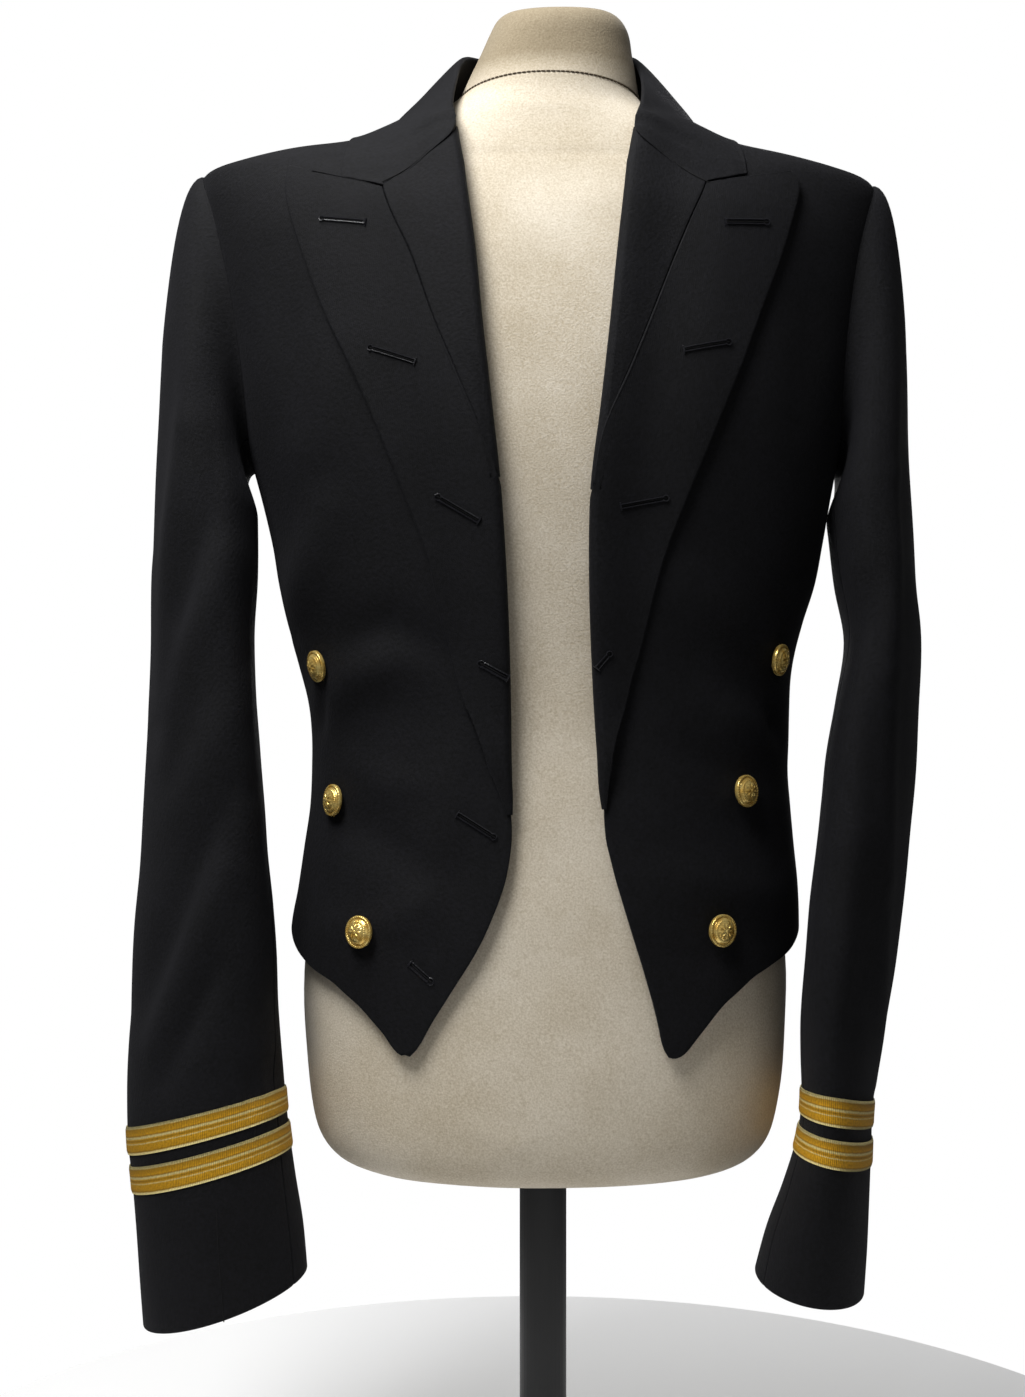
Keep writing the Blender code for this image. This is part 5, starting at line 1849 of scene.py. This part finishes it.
class NodeBook:
    """Writes one material's nodes."""

    def __init__(self, finish: Finish) -> None:
        """Starts a material with its shader set.

        Args:
            finish: which one.
        """
        paint = PAINTS[finish]
        self.material = bpy.data.materials.new(finish.value)
        self.material.use_nodes = True
        self.tree = self.material.node_tree
        self.add = partial(add_node, self.tree)
        self.shader = self.tree.nodes["Principled BSDF"]
        self.dress({"Base Color": linear(paint.colour), "Roughness": paint.roughness,
                    "Metallic": paint.metallic, "Sheen Weight": paint.sheen})
        coordinates = self.add("ShaderNodeTexCoord")
        self.place = coordinates.outputs["Object"]
        self.flat = coordinates.outputs["UV"]

    def dress(self, values: dict) -> None:
        """Sets the shader's inputs.

        Args:
            values: a plain value or a node for each.
        """
        for name, value in values.items():
            if isinstance(value, bpy.types.Node):
                self.tree.links.new(value.outputs[0], self.shader.inputs[name])
            else:
                self.shader.inputs[name].default_value = value

    def patches(self, size: float, detail: float,
                vector: bpy.types.NodeSocket | None = None) -> bpy.types.Node:
        """Uneven patches, size millimetres across, on the piece's own place or on another vector."""
        links = {"Vector": vector or self.place, "Scale": 1 / (size * MM), "Detail": detail}
        return self.add("ShaderNodeTexNoise", links)

    def wave(self, value: bpy.types.NodeSocket | bpy.types.Node, size: float) -> bpy.types.Node:
        """A wave between -1 and 1 along a value in metres, size millimetres long."""
        phase = self.add("ShaderNodeMath", {0: value, 1: 2 * math.pi / (size * MM)}, operation="MULTIPLY")
        return self.add("ShaderNodeMath", {0: phase}, operation="SINE")

    def total(self, first: bpy.types.Node, share: float, second: bpy.types.Node,
              rest: float) -> bpy.types.Node:
        """Two patterns added, each with its weight.

        Args:
            first: a pattern.
            share: its weight.
            second: another one.
            rest: its weight.

        Returns:
            The sum.
        """
        parts = [self.add("ShaderNodeMath", {0: node, 1: weight}, operation="MULTIPLY")
                 for node, weight in ((first, share), (second, rest))]
        return self.add("ShaderNodeMath", {0: parts[0], 1: parts[1]}, operation="ADD")


# The ribs of wool and lace and the jersey's stitches are too fine to show at the photograph's size. They are
# drawn COARSER times as wide as real ones, whose sizes follow in millimetres.
COARSER = 2.0
WOOL_RIB = 0.55
WOOL_PICK = 0.45
LACE_RIB = 0.55
LACE_GRAIN = 0.6
JERSEY_STITCH = 0.55
# The tufts of the wool's nap are drawn at their own size.
WOOL_NAP = 1.9


def make_wool() -> bpy.types.Material:
    """Nearly black woollen barathea, woven in a fine broken rib and pressed: dull, with a soft nap.

    Returns:
        The material.
    """
    # Little light comes back from it but a faint bloom along its curves, and its tone is slightly clouded.
    book = NodeBook(Finish.WOOL)
    parts = book.add("ShaderNodeSeparateXYZ", {"Vector": book.flat}).outputs
    twill = book.add("ShaderNodeMath", {0: parts["X"], 1: parts["Y"]}, operation="ADD")
    rib, pick = book.wave(twill, WOOL_RIB * COARSER), book.wave(parts["Y"], WOOL_PICK * COARSER)
    weave = book.add("ShaderNodeMath", {0: rib, 1: pick}, operation="MULTIPLY")
    nap = book.patches(WOOL_NAP, 4.0)
    tone = book.total(nap, 0.7, book.patches(50, 3.0), 0.3)
    height = book.total(weave, 0.10, nap, 1.0)
    book.dress({
        "Base Color": book.add("ShaderNodeValToRGB", {"Fac": tone},
                               stops=((0.34, "040405"), (0.68, "131317"))),
        "Normal": book.add("ShaderNodeBump", {"Height": height, "Distance": 0.00042, "Strength": 0.8}),
        "Sheen Roughness": 0.55, "Sheen Tint": linear("B9B9C4"), "Specular IOR Level": 0.2})
    return book.material


def make_lace() -> bpy.types.Material:
    """Gold lace: gilt wire woven with silk, ochre with pale lines at both edges and near the middle.

    Returns:
        The material.
    """
    # The wire gives it a satin shine across its ribs, and the silk between keeps it from looking like metal.
    book = NodeBook(Finish.LACE)
    parts = book.add("ShaderNodeSeparateXYZ", {"Vector": book.flat}).outputs
    wander = book.add("ShaderNodeMath", {0: book.patches(4, 2.0, book.flat), 1: 0.5}, operation="SUBTRACT")
    drift = book.add("ShaderNodeMath", {0: wander, 1: 0.0005}, operation="MULTIPLY")
    across = book.add("ShaderNodeMath", {0: parts["Y"], 1: drift}, operation="ADD")
    scaled = book.add("ShaderNodeMath", {0: across, 1: LACE_WIDTH * MM}, operation="DIVIDE")
    share = book.add("ShaderNodeMath", {0: scaled, 1: 0.5}, operation="ADD")
    pale, deep, dark = "FFEBA0", "F0B220", "BE8C16"
    lines = ((0.0, pale), (0.06, pale), (0.10, dark), (0.15, deep), (0.34, deep), (0.375, pale), (0.41, deep),
             (0.47, dark), (0.52, deep), (0.56, pale), (0.60, pale), (0.64, dark), (0.69, deep), (0.88, dark),
             (0.92, pale), (1.0, pale))
    colour = book.add("ShaderNodeValToRGB", {"Fac": share}, stops=lines)
    rib = book.wave(parts["X"], LACE_RIB * COARSER)
    grain = book.patches(LACE_GRAIN * COARSER, 3.0, book.flat)
    blended = book.total(rib, 0.22, grain, 1.0)
    shade = book.add("ShaderNodeValToRGB", {"Fac": blended}, stops=((0.15, "BEBEBE"), (0.75, "FFFFFF")))
    mixed = book.add("ShaderNodeMix", {"Factor": 1.0, 6: colour, 7: shade},
                     data_type="RGBA", blend_type="MULTIPLY")
    book.tree.links.new(mixed.outputs[2], book.shader.inputs["Base Color"])
    height = book.total(rib, 1.0, grain, 0.8)
    links = {"Height": height, "Distance": 0.00018, "Strength": 0.8}
    book.dress({"Normal": book.add("ShaderNodeBump", links)})
    return book.material


def make_gilt() -> bpy.types.Material:
    """Gilding on stamped brass: a warm shine, a little uneven in tone where it is handled.

    Returns:
        The material.
    """
    # It is less metallic than bare gold, because the lacquer over it scatters some of the light.
    book = NodeBook(Finish.GILT)
    stops = ((0.3, "D9A844"), (0.7, "FBE08C"))
    book.dress({"Base Color": book.add("ShaderNodeValToRGB", {"Fac": book.patches(4, 3.0)}, stops=stops)})
    return book.material


def make_cover() -> bpy.types.Material:
    """Beige cotton jersey, knitted and stretched over the dress form: matt, with painted shade on the neck.

    Returns:
        The material.
    """
    # The loops make it dull with a fine grain, and the neck above its seam is painted darker and greyer, a
    # painted shade.
    book = NodeBook(Finish.COVER)
    knit = book.patches(JERSEY_STITCH * COARSER, 4.0)
    tone = book.total(knit, 0.6, book.patches(60, 3.0), 0.4)
    height = book.add("ShaderNodeSeparateXYZ", {"Vector": book.place}).outputs["Z"]
    # Above the seam the tone is mixed towards a darker, greyer ramp: painted shade on the neck.
    above = book.add("ShaderNodeMapRange", {"Value": height, "From Min": 0.845, "From Max": 0.870})
    unshaded_tone, painted_shade_tone = (book.add("ShaderNodeValToRGB", {"Fac": tone}, stops=((0.32, low), (0.68, high)))
                   for low, high in (("C6B79C", "F0E6D4"), ("897B61", "AB9D84")))
    blended = book.add("ShaderNodeMix", {"Factor": above, 6: unshaded_tone, 7: painted_shade_tone}, data_type="RGBA")
    book.tree.links.new(blended.outputs[2], book.shader.inputs["Base Color"])
    book.dress({"Normal": book.add("ShaderNodeBump", {"Height": knit, "Distance": 0.00040, "Strength": 0.7})})
    return book.material


def make_uneven(finish: Finish, size: float, distance: float, strength: float) -> bpy.types.Material:
    """A plain finish with a slight unevenness to its gloss.

    Args:
        finish: which one.
        size: the unevenness's size, in millimetres.
        distance: its height, in metres.
        strength: how much of it shows.

    Returns:
        The material.
    """
    book = NodeBook(finish)
    links = {"Height": book.patches(size, 2.0), "Distance": distance, "Strength": strength}
    book.dress({"Normal": book.add("ShaderNodeBump", links)})
    return book.material


def make_materials() -> dict[Finish, bpy.types.Material]:
    """A material for each finish.

    Returns:
        The materials.
    """
    made = {Finish.WOOL: make_wool(), Finish.LACE: make_lace(), Finish.GILT: make_gilt(),
            Finish.COVER: make_cover()}
    # Satin black stoving enamel on the stand's steel: an even soft gloss with a trace of orange peel.
    made[Finish.STAND] = make_uneven(Finish.STAND, 3, 0.00008, 0.3)
    # Silk buttonhole twist shines a little along its turns. The near-black thread is painted shade: it stands
    # for the dark between the buttonhole's lips and in the gorge and cuff seams. The form's seam is sewn in
    # dull cotton.
    for thread in (Finish.TWIST, Finish.SLIT, Finish.SEAM):
        made[thread] = make_uneven(thread, 0.4, 0.00005, 0.5)
    return made


@dataclass(frozen=True)
class Lamp:
    """An area light: its place and aim in metres, its size and its power."""

    name: str
    place: tuple[float, float, float]
    aim: tuple[float, float, float]
    size: float
    watts: float


LAMPS = (
    Lamp("key", (-0.58, -0.84, 1.78), (-0.05, 0.0, 0.58), 0.75, 21.0),
    Lamp("fill", (0.30, -2.1, 0.9), (0.0, 0.0, 0.50), 1.2, 1.9),
    Lamp("top", (-0.32, -0.24, 1.72), (-0.05, 0.0, 0.82), 0.6, 7.4),
    Lamp("back", (0.35, 1.70, 1.15), (0.0, 0.0, 0.55), 1.0, 14.0),
)
AMBIENT = 0.10
BACKDROP = 1.0
SENSOR = 36.0
LENS = 48.96
CAMERA_PLACE = (-0.0183, -1.140, 0.497)
FLOOR_RADIUS = 0.44
FLOOR_STEPS = 128
WHITE = (1.0, 1.0, 1.0, 1.0)


def add_lights() -> None:
    """The studio's soft light and its pale world."""
    for lamp in LAMPS:
        data = bpy.data.lights.new(lamp.name, "AREA")
        data.shape = "DISK"
        data.size = lamp.size
        data.energy = lamp.watts
        obj = place(lamp.name, data)
        obj.location = lamp.place
        toward = Vector(lamp.aim) - Vector(lamp.place)
        obj.rotation_euler = toward.to_track_quat("-Z", "Y").to_euler()
    world = bpy.data.worlds.new("studio")
    world.use_nodes = True
    tree = world.node_tree
    # The camera sees a white backdrop, but the world lights the jacket only faintly.
    seen = add_node(tree, "ShaderNodeLightPath").outputs["Is Camera Ray"]
    strength = add_node(tree, "ShaderNodeMapRange", {"Value": seen, "To Min": AMBIENT, "To Max": BACKDROP})
    tree.links.new(strength.outputs["Result"], tree.nodes["Background"].inputs["Strength"])
    tree.nodes["Background"].inputs["Color"].default_value = WHITE
    bpy.context.scene.world = world
    bpy.context.scene.view_settings.view_transform = "Standard"


def add_camera() -> None:
    """The photograph's camera."""
    data = bpy.data.cameras.new("camera")
    data.sensor_width = SENSOR
    data.lens = LENS
    camera = place("camera", data)
    camera.location = CAMERA_PLACE
    camera.rotation_euler = (HALF_PI, 0.0, 0.0)
    bpy.context.scene.camera = camera


def add_floor() -> None:
    """A round plain pale floor under the stand."""
    data = bpy.data.meshes.new("floor")
    turns = [2 * math.pi * k / FLOOR_STEPS for k in range(FLOOR_STEPS)]
    rim = [(FLOOR_RADIUS * math.cos(a), FLOOR_RADIUS * math.sin(a), 0.0) for a in turns]
    data.from_pydata(rim, [], [tuple(range(FLOOR_STEPS))])
    material = bpy.data.materials.new("floor")
    material.use_nodes = True
    shader = material.node_tree.nodes["Principled BSDF"]
    for name, value in (("Base Color", (0.9, 0.9, 0.9, 1.0)), ("Roughness", 0.9), ("Emission Color", WHITE),
                        ("Emission Strength", 0.20)):
        shader.inputs[name].default_value = value
    data.materials.append(material)
    floor = place("floor", data)


SLOTS = {finish: finish.value for finish in Finish}
SLOTS |= {Finish.TWIST: "wool_cloth", Finish.SLIT: "wool_cloth", Finish.SEAM: "form_cover"}


def settle(obj: bpy.types.Object, finish: Finish) -> None:
    """Fixes a piece to the body and hides the solid that it stands for.

    Args:
        obj: the piece.
        finish: its material; not used.
    """
    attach(obj, "root")
    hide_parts(obj.name.removesuffix(LOOK))


class Hole(NamedTuple):
    """A buttonhole seen from the front: its eyelet end and its far end."""

    x1: float
    z1: float
    x2: float
    z2: float


@dataclass(frozen=True)
class StitchSize:
    """Thread and spacing of a row of stitches, in metres."""

    thread: float
    spacing: float
    length: float


PURL = StitchSize(0.00028, 0.00066, 0.0020)
# The size of the near-black lines of painted shade in the slits and the gorge and cuff seams.
SHADE_LINE = StitchSize(0.00034, 0.0006, 0.0011)
NECK_SEAM = StitchSize(0.00042, 0.0028, 0.0019)
NECK_SLANT = 0.18
STITCH_JITTER = 0.12
STITCH_SEED = 7
THREAD_UP = 0.12


def stitch_group(name: str, material: bpy.types.Material) -> bpy.types.NodeTree:
    """Node group that lays one small thread at each point of a curve, turned to lie across or along it.

    Args:
        name: the group's name.
        material: the thread.

    Returns:
        The group, with the inputs Thread, Spacing, Length, Turn and Seed.
    """
    group = bpy.data.node_groups.new(name, "GeometryNodeTree")
    face = group.interface
    face.new_socket("Geometry", in_out="INPUT", socket_type="NodeSocketGeometry")
    for label in ("Thread", "Spacing", "Length", "Turn"):
        face.new_socket(label, in_out="INPUT", socket_type="NodeSocketFloat")
    face.new_socket("Seed", in_out="INPUT", socket_type="NodeSocketInt")
    face.new_socket("Geometry", in_out="OUTPUT", socket_type="NodeSocketGeometry")
    add = partial(add_node, group)
    given = add("NodeGroupInput").outputs
    curve = add("GeometryNodeMeshToCurve", {"Mesh": given["Geometry"]})
    points = add("GeometryNodeCurveToPoints", {"Curve": curve, "Length": given["Spacing"]}, mode="LENGTH")
    bounds = {"Min": -STITCH_JITTER, "Max": STITCH_JITTER, "Seed": given["Seed"]}
    jitter = add("FunctionNodeRandomValue", bounds, data_type="FLOAT")
    turn = add("ShaderNodeMath", {0: given["Turn"], 1: jitter.outputs[1]}, operation="ADD")
    spin = add("ShaderNodeCombineXYZ", {"Y": turn})
    half = add("ShaderNodeMath", {0: given["Length"], 1: 0.5}, operation="MULTIPLY")
    minus = add("ShaderNodeMath", {0: half, 1: -1.0}, operation="MULTIPLY")
    start, end = add("ShaderNodeCombineXYZ", {"Z": minus}), add("ShaderNodeCombineXYZ", {"Z": half})
    line = add("GeometryNodeCurvePrimitiveLine", {"Start": start, "End": end})
    fine = add("GeometryNodeResampleCurve", {"Curve": line, "Count": 5})
    ring = add("GeometryNodeCurvePrimitiveCircle", {"Resolution": 6, "Radius": given["Thread"]})
    tube = add("GeometryNodeCurveToMesh", {"Curve": fine, "Profile Curve": ring, "Fill Caps": True})
    turned = add("FunctionNodeRotateRotation", {"Rotation": points.outputs["Rotation"], "Rotate By": spin},
                 rotation_space="LOCAL")
    laid = add("GeometryNodeInstanceOnPoints", {"Points": points, "Instance": tube, "Rotation": turned})
    real = add("GeometryNodeRealizeInstances", {"Geometry": laid})
    done = add("GeometryNodeSetMaterial", {"Geometry": real, "Material": material})
    add("NodeGroupOutput", {"Geometry": done})
    return group


class Sewer:
    """Bakes rows of stitches along paths laid on the pieces."""

    def __init__(self, materials: dict[Finish, bpy.types.Material]) -> None:
        """Makes a node group for each thread."""
        kinds = (Finish.TWIST, Finish.SLIT, Finish.SEAM)
        self.groups = {kind: stitch_group("stitches_" + kind.value, materials[kind]) for kind in kinds}

    def sew(self, name: str, paths: Sequence[Array], size: StitchSize, turn: float, thread: Finish) -> None:
        """Stitches along paths, fixed to the body.

        Args:
            name: the object's name.
            paths: points of each path, in millimetres.
            size: thread, spacing and length.
            turn: the stitches' angle to the path, in radians.
            thread: which thread.
        """
        points, edges = [], []
        for path in paths:
            first = len(points)
            points += (np.asarray(path) * MM).tolist()
            edges += [(k, k + 1) for k in range(first, len(points) - 1)]
        data = bpy.data.meshes.new(name + "_path")
        data.from_pydata(points, edges, [])
        obj = place(name, data)
        modifier = obj.modifiers.new("Stitches", "NODES")
        group = self.groups[thread]
        modifier.node_group = group
        values = {"Thread": size.thread, "Spacing": size.spacing, "Length": size.length, "Turn": turn,
                  "Seed": STITCH_SEED}
        for item in group.interface.items_tree:
            if item.in_out == "INPUT" and item.name in values:
                modifier[item.identifier] = values[item.name]
        bpy.context.view_layer.update()
        ready = obj.evaluated_get(bpy.context.evaluated_depsgraph_get())
        baked = bpy.data.meshes.new_from_object(ready)
        obj.modifiers.clear()
        obj.data = baked
        baked.name = name
        baked.shade_smooth()
        LOG.info("%s: %d faces", name, len(baked.polygons))
        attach(obj, "root")


HOLES = {
    Side.RIGHT: (Hole(-122.4, 762.6, -98.5, 758.7), Hole(-94.2, 688.3, -70.5, 680.0),
                 Hole(-58.0, 606.9, -35.6, 593.7), Hole(-34.5, 516.5, -20.2, 508.8)),
    Side.LEFT: (Hole(121.0, 760.8, 98.2, 759.2), Hole(97.9, 691.6, 74.2, 686.6),
                Hole(64.2, 606.3, 39.5, 601.4), Hole(33.7, 522.0, 27.0, 514.0)),
}
"""Buttonholes of the lapels."""
FRONT_HOLES = (Hole(-28.5, 421.2, -47.8, 433.4), Hole(-62.8, 341.9, -73.9, 351.3))
"""Those cut in the wearer's right front below the break."""
GORGE_SEAM = ((53.4, 810.2), (62.3, 802.4), (69.0, 796.5), (75.6, 791.0), (82.3, 786.3), (89.2, 782.2))
"""Where the collar is sewn to a facing, from the roll line to the lapel's seam, as x and z on the left."""


class CuffSeam(NamedTuple):
    """A short seam in a cuff: its turn round the sleeve, its top and its bottom."""

    turn: float
    high: float
    low: float


CUFF_SEAM = CuffSeam(0.255, 214.0, 148.0)


@dataclass(frozen=True)
class Keyhole:
    """The shape of a worked buttonhole, in millimetres.

    Attributes:
        eye: radius of the eyelet.
        gape: half of the angle at which the eyelet is open to the slit.
        half: half of the distance between the two long rows.
        neck: where the long rows start, from the eyelet's middle.
        bar: half of the bar tack's length.
        slit_start: where the slit starts, and slit_end, how far it ends before the bar.
    """

    eye: float = 1.6
    gape: float = 0.55
    half: float = 1.1
    neck: float = 2.0
    bar: float = 2.0
    slit_start: float = -0.6
    slit_end: float = 0.4

    def paths(self, hole: Hole, out: Height) -> list[Array]:
        """A buttonhole laid on the cloth.

        Args:
            hole: its two ends.
            out: how far its cloth's outer face stands off the front's inner face.

        Returns:
            The keyhole's outline, its bar at the far end and its slit.
        """
        length = math.hypot(hole.x2 - hole.x1, hole.z2 - hole.z1)
        way = np.array([(hole.x2 - hole.x1) / length, (hole.z2 - hole.z1) / length])
        across = np.array([-way[1], way[0]])
        start = np.array([hole.x1, hole.z1])
        turns = np.linspace(self.gape, 2 * math.pi - self.gape, 15)
        eye = [start + way * self.eye * np.cos(a) + across * self.eye * np.sin(a) for a in turns]
        lower = [start + way * s - across * self.half for s in np.linspace(self.neck, length, 16)]
        upper = [start + way * s + across * self.half for s in np.linspace(length, self.neck, 16)]
        loop = np.array(eye + lower + upper + eye[:1])
        slit = np.array([start + way * s for s in np.linspace(self.slit_start, length - self.slit_end, 20)])
        bar = np.array([start + way * length + across * s for s in np.linspace(-self.bar, self.bar, 5)])
        laid = []
        for flat in (loop, bar, slit):
            angle, h = BODY.locate(flat[:, 0], flat[:, 1])
            laid.append(body(angle, h, out(flat[:, 0], flat[:, 1])))
        return laid


def cut_holes(sewer: Sewer, name: str, holes: Sequence[Hole], out: Height) -> None:
    """Works a set of buttonholes: their edges in twist, and near-black lines of painted shade along their
    slits.

    Args:
        sewer: bakes the stitches.
        name: where they are.
        holes: their ends.
        out: how far their cloth's outer face stands off the front's inner face.
    """
    paths = [Keyhole().paths(hole, out) for hole in holes]
    edges = [path for loop, bar, _ in paths for path in (loop, bar)]
    sewer.sew("buttonholes_" + name, edges, PURL, HALF_PI, Finish.TWIST)
    # The slits are near-black lines of painted shade.
    sewer.sew("slits_" + name, [slit for _, _, slit in paths], SHADE_LINE, 0.0, Finish.SLIT)


def add_sewing(sewer: Sewer) -> None:
    """Buttonholes and gorge seams on both sides, the seam of a cuff and the form's neck seam. Slits, gorge
    seams and the cuff seam are near-black lines of painted shade.

    Args:
        sewer: bakes the stitches.
    """
    over = CLOTH + THREAD_UP
    for side in Side:
        roll = Roll(side)
        cut_holes(sewer, "lapel_" + side.word, HOLES[side], lambda x, z, on=roll: on.lift(x, z) + over)
        if side is Side.RIGHT:
            cut_holes(sewer, "front_right", FRONT_HOLES, lambda x, z: np.full(np.shape(x), over))
        spots = spline(GORGE_SEAM, np.linspace(0, len(GORGE_SEAM) - 1, 60))
        x, z = side.value * spots[:, 0], spots[:, 1]
        angle, h = BODY.locate(x, z)
        gorge = body(angle, h, roll.lift(x, z) + over)
        # The gorge seam is a near-black line of painted shade.
        sewer.sew("gorge_seam_" + side.word, [gorge], SHADE_LINE, 0.0, Finish.SLIT)
    # The cuff seam is a near-black line of painted shade.
    form = SleeveForm(Side.RIGHT)
    at = form.row_at(np.linspace(CUFF_SEAM.high, CUFF_SEAM.low, 40))
    cuff = form.point(np.full(at.shape, CUFF_SEAM.turn), at, CLOTH + 0.02)
    sewer.sew("cuff_seam_right", [cuff], SHADE_LINE, 0.0, Finish.SLIT)
    turns = np.linspace(-math.pi, math.pi, 181)
    neck = Bust(NECK)
    ring = neck.point(turns, np.full(turns.shape, 0.02))
    ring = ring + neck.normal(turns, np.full(turns.shape, 0.1)) * 0.35
    sewer.sew("neck_seam", [ring], NECK_SEAM, NECK_SLANT, Finish.SEAM)


def build_side(side: Side, maker: MeshMaker) -> None:
    """Everything that there is one of on each side.

    Args:
        side: the wearer's side.
        maker: links the meshes.
    """
    word = side.word
    tailor = BodyTailor(maker)
    for kind, make in (("front", tailor.front), ("back", tailor.back)):
        obj = make(side)
        settle(obj, Finish.WOOL)
    sleeves = SleeveTailor(maker, side)
    for kind, first, last in (("top_sleeve", FORE_SEAM, UNDER_BACK),
                              ("under_sleeve", UNDER_BACK, 2 * LOOP_HALF + FORE_SEAM)):
        obj = sleeves.piece(kind, first, last)
        settle(obj, Finish.WOOL)
    for which in ("upper", "lower"):
        obj = sleeves.lace(which)
        settle(obj, Finish.LACE)
    lapels = LapelTailor(maker, side)
    for kind, make in (("lapel", lapels.strip), ("facing", lapels.facing)):
        obj = make()
        settle(obj, Finish.WOOL)
    buttons = ButtonTailor(maker)
    for number, spot in enumerate(BUTTONS[word], 1):
        settle(buttons.build(f"button_{number}_{word}", side, spot), Finish.GILT)


def main() -> None:
    """Builds the scene."""
    logging.basicConfig(level=logging.INFO, format="%(name)s: %(message)s")
    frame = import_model()
    materials = make_materials()
    maker = MeshMaker(materials)
    for side in Side:
        build_side(side, maker)
    collar = CollarTailor(maker).build()
    settle(collar, Finish.WOOL)
    form = FormTailor(maker)
    for name, rings in (("form_torso", FORM), ("form_neck", NECK)):
        settle(form.build(name, rings), Finish.COVER)
    add_sewing(Sewer(materials))
    for name in ("stand_base", "stand_post"):
        node = frame["nodes"][name]
        node.data.materials.clear()
        node.data.materials.append(materials[Finish.STAND])
        node.data.shade_smooth()
    add_floor()
    add_lights()
    add_camera()


if __name__ == "__main__":
    main()
